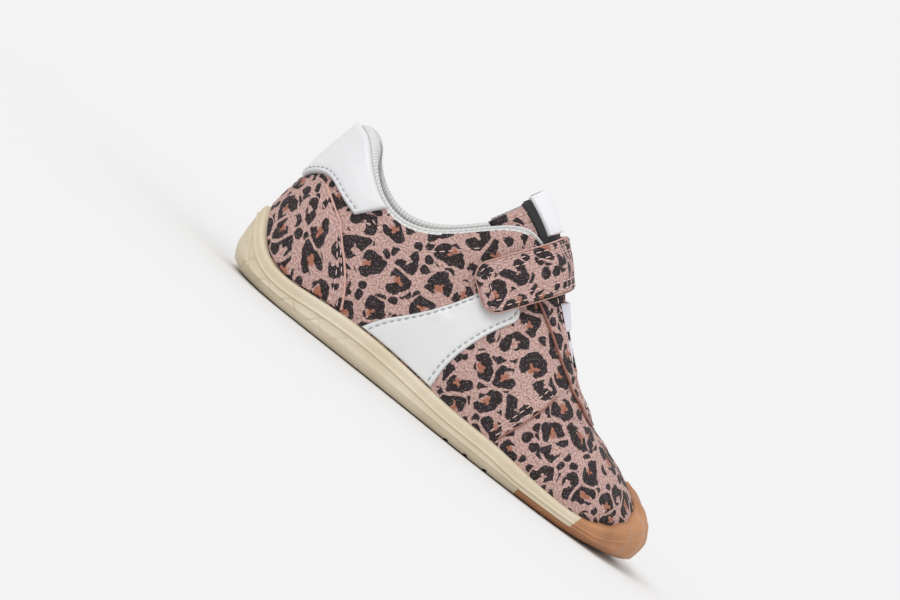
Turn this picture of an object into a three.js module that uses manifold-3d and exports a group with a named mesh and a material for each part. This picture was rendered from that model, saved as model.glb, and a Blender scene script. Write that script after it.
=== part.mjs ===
// Toddler's strap sneaker for the right foot, standing flat and unworn.
// Millimetres, heel to toe along +X, inner side of the foot at +Y, floor at z = 0.
import * as THREE from 'three';
import Module from 'manifold-3d';
import { mergeVertices } from 'three/addons/utils/BufferGeometryUtils.js';

const wasm = await Module();
wasm.setup();

// Sizes of the last
const lastLength = 150;
const ballWidth = 60;
const humpHeight = 66;

// Sizes of the upper
const upperWall = 2;
const collarPad = 4.2;
const collarRoll = 1.4;
const padLow = 0.62;
const padHigh = 0.95;
const overlayThickness = 1;
const tabThickness = 1.5;
const eyestayWidth = 6.6;
const clearance = 0.3;

// Sizes of the sole
const cupFloor = 5;
const lipThickness = 2.1;
const beadHeight = 0.5;
const beadDrop = 3.6;
const lowBand = 4;
const rimHeight = 10;
const toeSpring = 1.2;
const springStart = 0.86;
const springEnd = 1.04;
const heelRound = 3.4;
const heelLength = 0.16;
const insoleThickness = 3;
const padThickness = 2.4;
const padStart = 0.76;
const guardStart = 0.905;
const guardSkew = 0.06;
const guardLean = 3;
const guardThickness = 4.2;
const guardLow = 0.88;
const guardHigh = 0.99;
const scallopDepth = 0.35;
const scallopCount = 44;
const grooveWidth = 1.4;
const grooveDepth = 0.9;
const groovePitch = 7.5;
const grooveCount = 3;
const flexStart = 0.58;
const padGrooveStart = 0.8;

// Sizes of the tongue, label, strap and elastics
const tongueThickness = 2.4;
const tongueFold = 2.2;
const labelThickness = 1.6;
const labelWidth = 14;
const labelLow = 0.785;
const labelTop = 1.03;
const elasticThickness = 1.1;
const elasticSpan = 13.8;
const elasticShare = 0.085;
const elasticPlaces = [0.4, 0.515];
const strapWidth = 16;
const strapThickness = 2.8;
const strapLift = 0.4;
const strapSlope = 53;
const strapPlace = 0.19;
const strapEndHeight = 0.494;
const strapInnerEndHeight = 0.54;
const strapEndRadius = 5;

// Grid steps, small steps for slopes and walks, and the finest detail that a cut may leave
const nudge = 0.002;
const walkStep = 0.005;
const tongueStep = 0.01;
const fineness = 0.02;
const weldDistance = 0.002;
const loopSteps = 78;
const strapSamples = 60;
const strapColumns = 28;
const strapRows = 6;
const tongueGrid = [12, 15];
const tapeGrid = [10, 4];
const eyestayGrid = [44, 3];
const counterGrid = [22, 6];
const tabGrid = [24, 5];
const saddleGrid = [6, 10];
const wallSteps = 10;
const rollShares = [0.25, 0.5, 0.75];
const cupShares = [0.25, 0.5, 0.75];
const bandShare = 0.72;

// Ribs of the last from the heel round the outer side to the toe, and the inner side beside it.
// Lengths are shares of lastLength, widths of half the ballWidth, heights of humpHeight, rims of rimHeight.
const ribColumns = ['place', 'footX', 'footOuter', 'footInner', 'topX', 'topOuter', 'topInner', 'topZ',
  'lean', 'rise', 'roof', 'swell', 'drop', 'rimOuter', 'rimInner', 'pad'];
const ribTable = [
  ['heel back', 0.001, 0, 0, 0.041, 0, 0, 0.895, 0.12, 0.36, 0.1, 0.04, 0.3, 2.6, 2.6, 1],
  ['heel edge', 0.041, 0.44, 0.43, 0.078, 0.32, 0.31, 0.895, 0.033, 0.33, 0.1, 0.02, 0.22, 1.18, 1.18, 0.95],
  ['heel side', 0.113, 0.673, 0.64, 0.111, 0.507, 0.493, 0.812, 0.08, 0.34, 0.12, 0.053, 0.26, 0.8, 0.8, 0.8],
  ['counter', 0.2, 0.733, 0.687, 0.164, 0.613, 0.587, 0.706, 0.087, 0.35, 0.12, 0.053, 0.3, 1, 1, 0.55],
  ['quarter', 0.3, 0.753, 0.667, 0.231, 0.667, 0.627, 0.655, 0.08, 0.36, 0.15, 0.053, 0.34, 1.1, 1.1, 0.35],
  ['waist', 0.4, 0.807, 0.687, 0.307, 0.667, 0.633, 0.715, 0.073, 0.36, 0.2, 0.06, 0.36, 1.07, 1.07, 0.3],
  ['shank', 0.493, 0.893, 0.773, 0.383, 0.62, 0.607, 0.888, 0.06, 0.36, 0.26, 0.067, 0.38, 0.94, 0.94, 0.3],
  ['joint', 0.58, 0.973, 0.893, 0.453, 0.547, 0.54, 1.03, 0.047, 0.36, 0.32, 0.067, 0.4, 0.85, 0.87, 0.2],
  ['ball', 0.667, 1.027, 0.993, 0.531, 0.453, 0.453, 0.961, 0.033, 0.36, 0.38, 0.04, 0.42, 0.89, 0.9, 0],
  ['fore ball', 0.753, 1.013, 1.04, 0.608, 0.393, 0.4, 0.788, 0.033, 0.36, 0.42, 0.013, 0.42, 0.73, 0.9, 0],
  ['vamp', 0.84, 0.933, 1.027, 0.68, 0.347, 0.36, 0.63, 0.033, 0.38, 0.46, 0.007, 0.4, 0.63, 0.95, 0],
  ['toe side', 0.923, 0.753, 0.92, 0.732, 0.287, 0.3, 0.53, 0.06, 0.4, 0.52, 0.013, 0.34, 0.62, 1.5, 0],
  ['toe corner', 0.991, 0.387, 0.627, 0.76, 0.16, 0.173, 0.479, 0.093, 0.42, 0.56, 0.02, 0.28, 1.15, 2.1, 0],
  ['toe tip', 1.02, -0.12, 0.12, 0.768, -0.007, 0.007, 0.47, 0.113, 0.42, 0.58, 0.02, 0.26, 1.8, 1.8, 0],
];

// Section of the sole's outside. In the corner, out is in lips, round in heel rounds and up in cup floors.
// On the side, up runs from the bead to the rim, and step and out are in bead heights.
const cornerColumns = ['out', 'round', 'up'];
const cornerTable = [
  [-1.15, 1, 0],
  [0.2, 0.8, 0.15],
  [0.95, 0.4, 0.5],
];
const sideColumns = ['up', 'step', 'out'];
const sideTable = [
  [0, -1.2, 0],
  [0, 0, 1],
  [0, 1.2, 0],
  [1, -1.4, 0],
  [1, 0, -1.7],
];

// Edges of the overlays, as shares of the loop round the foot and of a rib.
const counterColumns = ['reach', 'topEdge'];
const counterTable = [
  [0.1375, 0.5],
  [0.134, 0.585],
  [0.128, 0.6],
  [0.117, 0.59],
  [0.095, 0.575],
];
const tabColumns = ['lowEdge'];
const tabTable = [[0.52], [0.61], [0.645], [0.655], [0.7]];
const tabLowReach = 0.104;
const tabTopReach = 0.136;
const topShare = 0.99;
const saddleColumns = ['back', 'front'];
const saddleTable = [
  [0.158, 0.2325],
  [0.169, 0.235],
  [0.19, 0.248],
  [0.218, 0.27],
  [0.252, 0.299],
];
const saddleHigh = 0.69;
const eyestayStart = 0.272;
const eyestayGrowth = 1.1;
const eyestayNear = 0.2;
const eyestayFar = 0.9;
const eyestayLimit = 0.15;

// Middle line of the tongue's face, from under the vamp to its top.
// x is a share of lastLength, z of humpHeight, halfWidth and depth of half the ballWidth.
const tongueColumns = ['x', 'z', 'halfWidth', 'depth'];
const tongueTable = [
  [0.813, 0.356, 0.4, 0.13],
  [0.767, 0.421, 0.433, 0.18],
  [0.727, 0.509, 0.467, 0.25],
  [0.667, 0.664, 0.5, 0.35],
  [0.6, 0.845, 0.5, 0.4],
  [0.533, 1.008, 0.47, 0.46],
  [0.48, 1.106, 0.45, 0.55],
  [0.437, 1.159, 0.44, 0.6],
];

function toRow(columns, values) {
  return Object.fromEntries(columns.map((name, index) => [name, values[index]]));
}

// Rows all the way round: outer side to the toe, then back along the inner side
const halfRows = ribTable.map((values) => toRow(ribColumns, values));
const shared = ['footX', 'topX', 'topZ', 'lean', 'rise', 'roof', 'swell', 'drop', 'pad'];

function sideRow(row, inner) {
  const made = Object.fromEntries(shared.map((name) => [name, row[name]]));
  made.footY = inner ? row.footInner : -row.footOuter;
  made.topY = inner ? row.topInner : -row.topOuter;
  made.rim = inner ? row.rimInner : row.rimOuter;
  return made;
}

const outerRows = halfRows.map((row) => sideRow(row, false));
const innerRows = halfRows.slice(1, -1).reverse().map((row) => sideRow(row, true));
const loopRows = [...outerRows, ...innerRows];
const rowCount = loopRows.length;

function splineWeights(t) {
  const s = 1 - t;
  const first = s * s * s;
  const second = 3 * t * t * t - 6 * t * t + 4;
  const third = 3 * s * s * s - 6 * s * s + 4;
  const fourth = t * t * t;
  return [first / 6, second / 6, third / 6, fourth / 6];
}

function loopRow(u) {
  const place = (((u % 1) + 1) % 1) * rowCount;
  const index = Math.floor(place);
  const weights = splineWeights(place - index);
  const mixed = {};
  for (const name of Object.keys(loopRows[0])) {
    mixed[name] = 0;
    weights.forEach((weight, k) => {
      mixed[name] += weight * loopRows[(index + k - 1 + rowCount) % rowCount][name];
    });
  }
  return mixed;
}

function clampedRow(table, columns, share) {
  const place = share * (table.length - 1);
  const index = Math.min(Math.floor(place), table.length - 2);
  const weights = splineWeights(place - index);
  const mixed = {};
  columns.forEach((name, column) => {
    const at = (k) => {
      if (k < 0) return 2 * table[0][column] - table[1][column];
      if (k >= table.length) return 2 * table[k - 1][column] - table[k - 2][column];
      return table[k][column];
    };
    mixed[name] = weights.reduce((sum, weight, k) => sum + weight * at(index + k - 1), 0);
  });
  return mixed;
}

function smoothStep(low, high, value) {
  const t = Math.min(Math.max((value - low) / (high - low), 0), 1);
  return t * t * (3 - 2 * t);
}

function springAt(x) {
  return toeSpring * smoothStep(springStart * lastLength, springEnd * lastLength, x);
}

const halfBall = ballWidth / 2;

function footXY(u) {
  const row = loopRow(u);
  return new THREE.Vector2(row.footX * lastLength, row.footY * halfBall);
}

function footNormal(u) {
  const along = footXY(u + nudge).sub(footXY(u - nudge)).normalize();
  return new THREE.Vector2(along.y, -along.x);
}

// Outside of the upper: u runs round the foot, v from the feather line up to the collar or throat
function upperPoint(u, v) {
  const row = loopRow(u);
  const normal = footNormal(u);
  const foot = new THREE.Vector3(row.footX * lastLength, row.footY * halfBall, 0);
  foot.z = cupFloor + clearance + springAt(foot.x);
  const top = new THREE.Vector3(row.topX * lastLength, row.topY * halfBall, row.topZ * humpHeight);
  const height = top.z - foot.z;
  const low = foot.clone();
  low.x += normal.x * row.lean * halfBall;
  low.y += normal.y * row.lean * halfBall;
  low.z += row.rise * height;
  const high = top.clone();
  high.x += (foot.x - top.x) * row.roof + normal.x * row.swell * halfBall;
  high.y += (foot.y - top.y) * row.roof + normal.y * row.swell * halfBall;
  high.z -= row.drop * height;
  return new THREE.CubicBezierCurve3(foot, low, high, top).getPoint(v);
}

function upperNormal(u, v) {
  const low = Math.max(v - nudge, 0);
  const high = Math.min(v + nudge, 1);
  const round = upperPoint(u + nudge, v).sub(upperPoint(u - nudge, v));
  const up = upperPoint(u, high).sub(upperPoint(u, low));
  return round.cross(up).normalize();
}

function upperOffset(u, v, distance) {
  return upperPoint(u, v).addScaledVector(upperNormal(u, v), distance);
}

function wallAt(u, v) {
  return upperWall + collarPad * loopRow(u).pad * smoothStep(padLow, padHigh, v);
}

// Share of a rib at a height above the floor
function shareAtHeight(u, height) {
  let low = 0;
  let high = 1;
  for (let k = 0; k < 24; k += 1) {
    const middle = (low + high) / 2;
    if (upperPoint(u, middle).z < height) low = middle;
    else high = middle;
  }
  return low;
}

// Share of a rib at a distance down from the top edge
function shareBelowTop(u, distance) {
  let v = 1;
  let last = upperPoint(u, v);
  let walked = 0;
  while (v > 0 && walked < distance) {
    v -= walkStep;
    const next = upperPoint(u, v);
    walked += next.distanceTo(last);
    last = next;
  }
  return v;
}

function rimAt(u) {
  return loopRow(u).rim * rimHeight + springAt(footXY(u).x);
}

// Closed mesh from a list of points and faces
function makeGeometry(points, faces) {
  const geometry = new THREE.BufferGeometry();
  const numbers = points.flatMap((point) => [point.x, point.y, point.z]);
  geometry.setAttribute('position', new THREE.Float32BufferAttribute(numbers, 3));
  geometry.setIndex(faces.flat());
  geometry.computeVertexNormals();
  return geometry;
}

// Rings of equal length joined one above another, and closed into a ring of rings or capped at both ends
function ringBody(rings, capped) {
  const count = rings[0].length;
  const faces = [];
  const last = capped ? rings.length - 1 : rings.length;
  for (let k = 0; k < last; k += 1) {
    const next = (k + 1) % rings.length;
    for (let i = 0; i < count; i += 1) {
      const j = (i + 1) % count;
      faces.push([k * count + i, k * count + j, next * count + j]);
      faces.push([k * count + i, next * count + j, next * count + i]);
    }
  }
  if (capped) {
    faces.push(...ladder(0, count, true));
    faces.push(...ladder((rings.length - 1) * count, count, false));
  }
  return makeGeometry(rings.flat(), faces);
}

// Cap across a ring, rung by rung from heel to toe
function ladder(start, count, down) {
  const faces = [];
  for (let i = 0; i < count / 2; i += 1) {
    const a = start + i;
    const b = start + i + 1;
    const c = start + (count - i - 1) % count;
    const d = start + (count - i) % count;
    if (i + 1 < count / 2) faces.push([a, b, c]);
    if (i > 0) faces.push([a, c, d]);
  }
  return down ? faces.map((face) => face.reverse()) : faces;
}

// Sheet with a front and a back, both on the same grid
function slab(front, back, columns, rows) {
  const points = [];
  for (const side of [front, back]) {
    for (let i = 0; i <= columns; i += 1) {
      for (let j = 0; j <= rows; j += 1) points.push(side(i / columns, j / rows));
    }
  }
  const size = (columns + 1) * (rows + 1);
  const at = (side, i, j) => side * size + i * (rows + 1) + j;
  const faces = [];
  const quad = (a, b, c, d) => faces.push([a, b, c], [a, c, d]);
  for (let i = 0; i < columns; i += 1) {
    for (let j = 0; j < rows; j += 1) {
      quad(at(0, i, j), at(0, i + 1, j), at(0, i + 1, j + 1), at(0, i, j + 1));
      quad(at(1, i, j), at(1, i, j + 1), at(1, i + 1, j + 1), at(1, i + 1, j));
    }
    quad(at(0, i, 0), at(1, i, 0), at(1, i + 1, 0), at(0, i + 1, 0));
    quad(at(0, i, rows), at(0, i + 1, rows), at(1, i + 1, rows), at(1, i, rows));
  }
  for (let j = 0; j < rows; j += 1) {
    quad(at(0, 0, j), at(0, 0, j + 1), at(1, 0, j + 1), at(1, 0, j));
    quad(at(0, columns, j), at(1, columns, j), at(1, columns, j + 1), at(0, columns, j + 1));
  }
  return makeGeometry(points, faces);
}

function loopRing(count, pointAt) {
  return Array.from({ length: count }, (unused, i) => pointAt(i / count));
}

function toManifold(geometry) {
  const mesh = new wasm.Mesh({
    numProp: 3,
    vertProperties: new Float32Array(geometry.getAttribute('position').array),
    triVerts: new Uint32Array(geometry.getIndex().array),
  });
  return new wasm.Manifold(mesh);
}

function meshGeometry(body) {
  const mesh = body.getMesh();
  const geometry = new THREE.BufferGeometry();
  geometry.setAttribute('position', new THREE.BufferAttribute(mesh.vertProperties, 3));
  geometry.setIndex(new THREE.BufferAttribute(mesh.triVerts, 1));
  return geometry;
}

// A cut body is welded and keeps its largest piece, without crumbs
function fromManifold(body) {
  const welded = toManifold(mergeVertices(meshGeometry(body.simplify(fineness)), weldDistance));
  const largest = welded.decompose().reduce((best, next) => (next.volume() > best.volume() ? next : best));
  const geometry = meshGeometry(largest);
  geometry.computeVertexNormals();
  return geometry;
}

// Upper: outside from the feather line up, over the rolled collar, and down the inside
function makeUpper() {
  const rings = [];
  for (let k = 0; k <= wallSteps; k += 1) {
    rings.push(loopRing(loopSteps, (u) => upperPoint(u, k / wallSteps)));
  }
  for (const share of rollShares) {
    rings.push(loopRing(loopSteps, (u) => {
      const wall = wallAt(u, 1);
      const point = upperOffset(u, 1, -wall * share);
      point.z += Math.sin(Math.PI * share) * collarRoll * wall / (upperWall + collarPad);
      return point;
    }));
  }
  for (let k = wallSteps; k >= 0; k -= 1) {
    const v = k / wallSteps;
    rings.push(loopRing(loopSteps, (u) => upperOffset(u, v, -wallAt(u, v))));
  }
  return ringBody(rings, false);
}

// Point level with a height on the side wall, moved out by a distance. Below the feather line it drops straight.
function sidePoint(u, height, distance) {
  const v = shareAtHeight(u, height);
  const point = upperPoint(u, v);
  const normal = upperNormal(u, v).setZ(0).normalize();
  point.z = Math.min(point.z, height);
  return point.addScaledVector(normal, distance);
}

function footRing(count, distanceAt, heightAt) {
  return loopRing(count, (u) => {
    const foot = footXY(u).addScaledVector(footNormal(u), distanceAt(u));
    return new THREE.Vector3(foot.x, foot.y, heightAt(u));
  });
}

// Cup with a rim, whose outer side is proud of the upper by the lip
function makeCup(count, lipOf) {
  const ground = (u) => springAt(footXY(u).x);
  const floorOf = (u) => cupFloor + ground(u);
  const level = (heightOf, distanceOf) => loopRing(count, (u) => sidePoint(u, heightOf(u), distanceOf(u)));
  const bead = (u) => Math.max(rimAt(u) - beadDrop, ground(u) + lowBand);
  const outer = (u) => clearance + lipOf(u);
  const heel = (u) => 1 - smoothStep(0, heelLength, footXY(u).x / lastLength);
  const innerGap = (u) => clearance * (1 + guardShare(u));
  const corner = (row) => footRing(count, (u) => row.out * lipThickness - row.round * heelRound * heel(u),
    (u) => ground(u) + row.up * cupFloor);
  const side = (row) => level((u) => mix(bead(u), rimAt(u), row.up) + row.step * beadHeight,
    (u) => outer(u) + row.out * beadHeight);
  const rings = [
    ...cornerTable.map((values) => corner(toRow(cornerColumns, values))),
    level((u) => mix(ground(u), bead(u), bandShare), outer),
    ...sideTable.map((values) => side(toRow(sideColumns, values))),
    level(rimAt, innerGap),
    ...cupShares.map((share) => level((u) => mix(rimAt(u), floorOf(u), share), innerGap)),
    footRing(count, () => clearance, floorOf),
  ];
  return toManifold(ringBody(rings, true));
}

// Block whose corners are given low end first
function block(corners) {
  const order = [[0, 2, 1], [0, 3, 2], [4, 5, 6], [4, 6, 7], [0, 1, 5], [0, 5, 4],
    [1, 2, 6], [1, 6, 5], [2, 3, 7], [2, 7, 6], [3, 0, 4], [3, 4, 7]];
  return toManifold(makeGeometry(corners.map((c) => new THREE.Vector3(...c)), order));
}

// Region of the gum rubber: a ground layer under the forefoot and all of the toe
function gumRegion(grow) {
  const side = ballWidth;
  const far = 2 * lastLength;
  const deep = -cupFloor;
  const high = 3 * rimHeight;
  const start = padStart * lastLength - grow;
  const layer = block([
    [start, -side, deep], [far, -side, deep], [far, side, deep], [start, side, deep],
    [start + padThickness, -side, padThickness + grow], [far, -side, padThickness + grow],
    [far, side, padThickness + grow], [start + padThickness, side, padThickness + grow],
  ]);
  const outerX = guardStart * lastLength - grow;
  const innerX = outerX - guardSkew * lastLength;
  const lean = guardLean * high / rimHeight;
  const toe = block([
    [outerX, -side, 0], [far, -side, 0], [far, side, 0], [innerX, side, 0],
    [outerX + lean, -side, high], [far, -side, high], [far, side, high], [innerX + lean, side, high],
  ]);
  return layer.add(toe);
}

function grooves(fromX, count) {
  let cut = null;
  for (let k = 0; k < count; k += 1) {
    const x = fromX + k * groovePitch;
    const next = x + grooveWidth;
    const plan = [[x, -ballWidth], [next, -ballWidth], [next, ballWidth], [x, ballWidth]];
    const level = (height) => plan.map(([a, b]) => [a, b, height]);
    const one = block([...level(-cupFloor), ...level(grooveDepth)]);
    cut = cut ? cut.add(one) : one;
  }
  return cut;
}

function makeSole() {
  const cup = makeCup(loopSteps, () => lipThickness);
  const cuts = gumRegion(clearance).add(grooves(flexStart * lastLength, grooveCount));
  return fromManifold(cup.subtract(cuts));
}

// How far a place belongs to the toe guard: none on the sides, all at the tip
function guardShare(u) {
  return smoothStep(guardLow, guardHigh, footXY(u).x / lastLength);
}

function makeGuard() {
  const lipOf = (u) => {
    const thick = lipThickness + (guardThickness - lipThickness) * guardShare(u);
    return thick + scallopDepth * guardShare(u) * Math.cos(2 * Math.PI * scallopCount * u);
  };
  const cup = makeCup(2 * loopSteps, lipOf);
  const cuts = grooves(padGrooveStart * lastLength, grooveCount);
  return fromManifold(cup.intersect(gumRegion(0)).subtract(cuts));
}

function makeInsole() {
  const inset = upperWall + 2 * clearance;
  const low = (u) => cupFloor + clearance + springAt(footXY(u).x);
  const rings = [
    footRing(loopSteps, () => -inset, low),
    footRing(loopSteps, () => -inset, (u) => low(u) + insoleThickness),
  ];
  return ringBody(rings, true);
}

// Sheet lying on the upper, at a place found from two shares across and along it
function overlay(placeAt, thickness, [columns, rows]) {
  const at = (a, b, distance) => {
    const [u, v] = placeAt(a, b);
    return upperOffset(u, v, distance);
  };
  return slab((a, b) => at(a, b, clearance + thickness), (a, b) => at(a, b, clearance), columns, rows);
}

function mix(low, high, share) {
  return low + (high - low) * share;
}

function aboveRim(u) {
  return shareAtHeight(u, rimAt(u) + 2 * clearance);
}

function edgeShare(table, columns, name, share) {
  return clampedRow(table, columns, Math.min(Math.max(share, 0), 1))[name];
}

// Heel counter: its top edge rises away from the middle of the heel, and its ends slope forward to the sole
function counterPlace(a, b) {
  const front = edgeShare(counterTable, counterColumns, 'reach', b);
  const u = (2 * a - 1) * front;
  const top = edgeShare(counterTable, counterColumns, 'topEdge', Math.abs(2 * a - 1));
  return [u, mix(aboveRim(u), top, b)];
}

// Heel tab: from its waved lower edge up to the collar
function tabPlace(a, b) {
  const across = 2 * a - 1;
  const low = edgeShare(tabTable, tabColumns, 'lowEdge', Math.abs(across));
  return [across * mix(tabLowReach, tabTopReach, b), mix(low, topShare, b)];
}

// Saddle panel: across the waist from the sole to the eyestay, on either side
function saddlePlace(a, b, inner) {
  const back = edgeShare(saddleTable, saddleColumns, 'back', b);
  const front = edgeShare(saddleTable, saddleColumns, 'front', b);
  const u = inner ? 1 - mix(front, back, a) : mix(back, front, a);
  return [u, mix(aboveRim(u), saddleHigh, b)];
}

// Eyestay: a strip round the throat, wider towards its ends
function eyestayPlace(a, b) {
  const u = mix(eyestayStart, 1 - eyestayStart, a);
  const ends = Math.abs(2 * a - 1);
  const width = eyestayWidth * (1 + eyestayGrowth * smoothStep(eyestayNear, eyestayFar, ends));
  return [u, mix(shareBelowTop(u, width), topShare, b)];
}

// Face of the tongue: share along its middle line, and share across from the outer wing to the inner one
function tonguePoint(share, across) {
  const row = clampedRow(tongueTable, tongueColumns, share);
  const next = clampedRow(tongueTable, tongueColumns, share + tongueStep);
  const alongX = (next.x - row.x) * lastLength;
  const alongZ = (next.z - row.z) * humpHeight;
  const length = Math.hypot(alongX, alongZ);
  const fall = row.depth * halfBall * Math.abs(across) ** tongueFold;
  return new THREE.Vector3(
    row.x * lastLength - fall * alongZ / length,
    row.halfWidth * halfBall * across,
    row.z * humpHeight + fall * alongX / length,
  );
}

function tongueOffset(share, across, distance) {
  const wide = tonguePoint(share, across + tongueStep).sub(tonguePoint(share, across - tongueStep));
  const up = tonguePoint(share + tongueStep, across).sub(tonguePoint(share - tongueStep, across));
  return tonguePoint(share, across).addScaledVector(wide.cross(up).normalize(), distance);
}

// Sheet in line with the tongue's face
function tongueSheet(low, high, halfSpan, bottom, top, [columns, rows]) {
  const widthAt = (share) => clampedRow(tongueTable, tongueColumns, share).halfWidth * halfBall;
  const spanAt = (share) => Math.min(halfSpan / widthAt(share), 1);
  const at = (a, b, distance) => {
    const share = mix(low, high, b);
    return tongueOffset(share, (2 * a - 1) * spanAt(share), distance);
  };
  return slab((a, b) => at(a, b, top), (a, b) => at(a, b, bottom), columns, rows);
}

// Strap: its middle plane stands across the instep, and it lies on the hull of what it holds down
const strapAngle = THREE.MathUtils.degToRad(strapSlope);
const strapAlong = new THREE.Vector3(Math.sin(strapAngle), 0, -Math.cos(strapAngle));
const strapUp = new THREE.Vector3(Math.cos(strapAngle), 0, Math.sin(strapAngle));

// Places where the lines of a grid cross the strap's plane, as width and height in that plane
function crossings(pointAt, plane) {
  const found = [];
  const walk = (lineAt) => {
    let last = null;
    for (let j = 0; j <= strapSamples; j += 1) {
      const point = lineAt(j / strapSamples);
      const here = point.dot(strapAlong) - plane;
      if (last && here * last.here < 0) {
        const middle = last.point.clone().lerp(point, last.here / (last.here - here));
        found.push(new THREE.Vector2(middle.y, middle.dot(strapUp)));
      }
      last = { point, here };
    }
  };
  for (let i = 0; i <= strapSamples; i += 1) {
    const share = i / strapSamples;
    walk((other) => pointAt(share, other));
    walk((other) => pointAt(other, share));
  }
  return found;
}

function turn(a, b, c) {
  return (b.x - a.x) * (c.y - a.y) - (b.y - a.y) * (c.x - a.x);
}

function upperHull(points) {
  const sorted = [...points].sort((p, q) => p.x - q.x);
  const hull = [];
  for (const point of sorted) {
    while (hull.length > 1 && turn(hull[hull.length - 2], hull[hull.length - 1], point) >= 0) hull.pop();
    hull.push(point);
  }
  return hull;
}

// Smooth path over the hull, from the outer end to the inner end
function strapPath(plane) {
  const lift = 2 * clearance + overlayThickness;
  const skin = crossings((a, b) => upperOffset(mix(eyestayLimit, 1 - eyestayLimit, a), b, lift), plane);
  const tongue = crossings((a, b) => tongueOffset(b, 2 * a - 1, clearance), plane);
  const hull = upperHull([...skin, ...tongue]);
  const dense = new THREE.CatmullRomCurve3(hull.map((p) => new THREE.Vector3(p.x, p.y, 0)), false, 'chordal');
  const spaced = dense.getSpacedPoints(strapSamples * 4);
  const peak = spaced.reduce((best, p, k) => (p.y > spaced[best].y ? k : best), 0);
  const outerEnd = strapEndHeight * lastLength;
  const innerEnd = strapInnerEndHeight * lastLength;
  const kept = spaced.filter((p, k) => p.y > (k < peak ? outerEnd : innerEnd));
  return new THREE.CatmullRomCurve3(kept, false, 'chordal');
}

const strapMiddle = strapPlace * lastLength;
const strapPaths = [-0.5, 0, 0.5].map((side) => strapPath(strapMiddle + side * strapWidth));
const strapNodes = strapPaths.map((path) => path.getSpacedPoints(strapColumns));
const strapLength = strapPaths[1].getLength();

// Point of the strap: index along it, side from -1 at its back edge to 1 at its front, height off the hull
function strapPoint(index, side, height) {
  const weights = [side * (side - 1) / 2, 1 - side * side, side * (side + 1) / 2];
  const flat = (k) => strapNodes.reduce((sum, nodes, n) => sum.addScaledVector(nodes[k], weights[n]),
    new THREE.Vector3());
  const here = flat(index);
  const ahead = flat(Math.min(index + 1, strapColumns)).sub(flat(Math.max(index - 1, 0))).normalize();
  const out = new THREE.Vector2(here.x - ahead.y * height, here.y + ahead.x * height);
  const plane = strapMiddle + side * strapWidth / 2;
  const point = new THREE.Vector3(0, out.x, 0);
  return point.addScaledVector(strapAlong, plane).addScaledVector(strapUp, out.y);
}

function strapSide(a) {
  const walked = a * strapLength;
  if (walked >= strapEndRadius) return 1;
  const left = 1 - walked / strapEndRadius;
  return 1 - strapEndRadius * (1 - Math.sqrt(1 - left * left)) / (strapWidth / 2);
}

function makeStrap() {
  const at = (a, b, height) => strapPoint(Math.round(a * strapColumns), (1 - 2 * b) * strapSide(a), height);
  return slab((a, b) => at(a, b, strapLift + strapThickness), (a, b) => at(a, b, strapLift), strapColumns,
    strapRows);
}

const parts = new THREE.Group();
parts.name = 'shoe';

function addPart(name, geometry, look) {
  const material = new THREE.MeshStandardMaterial({ ...look, metalness: 0 });
  const mesh = new THREE.Mesh(geometry, material);
  mesh.name = name;
  parts.add(mesh);
}

const cloth = { color: 0xc9a394, roughness: 0.8 };
const leather = { color: 0xe8e9e8, roughness: 0.5 };
const tape = { color: 0xf2f0f4, roughness: 0.7 };
const creamRubber = { color: 0xe4dcc8, roughness: 0.65 };
const gumRubber = { color: 0xc38c5f, roughness: 0.6 };
const foam = { color: 0xece8e2, roughness: 0.9 };

addPart('upper', makeUpper(), cloth);
addPart('sole', makeSole(), creamRubber);
addPart('toe_guard', makeGuard(), gumRubber);
addPart('insole', makeInsole(), foam);
addPart('tongue', tongueSheet(0, 1, ballWidth, -tongueThickness, 0, tongueGrid), cloth);
const labelFace = clearance + labelThickness;
const label = tongueSheet(labelLow, labelTop, labelWidth / 2, clearance, labelFace, tapeGrid);
addPart('tongue_label', label, tape);
elasticPlaces.forEach((place, index) => {
  const low = place - elasticShare / 2;
  const high = place + elasticShare / 2;
  const sheet = tongueSheet(low, high, elasticSpan, clearance, clearance + elasticThickness, tapeGrid);
  addPart('elastic_' + (index + 1), sheet, tape);
});
addPart('eyestay', overlay(eyestayPlace, overlayThickness, eyestayGrid), cloth);
addPart('heel_counter', overlay(counterPlace, overlayThickness, counterGrid), cloth);
addPart('heel_tab', overlay(tabPlace, tabThickness, tabGrid), leather);
addPart('saddle_outer', overlay((a, b) => saddlePlace(a, b, false), overlayThickness, saddleGrid), leather);
addPart('saddle_inner', overlay((a, b) => saddlePlace(a, b, true), overlayThickness, saddleGrid), leather);
addPart('strap', makeStrap(), cloth);

// The origin is under the middle of the shoe
const middle = new THREE.Box3().setFromObject(parts).getCenter(new THREE.Vector3());
parts.position.set(-middle.x, -middle.y, 0);

export default parts;
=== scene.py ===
import math

import bpy
import numpy as np
from mathutils import Matrix, Vector

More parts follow.
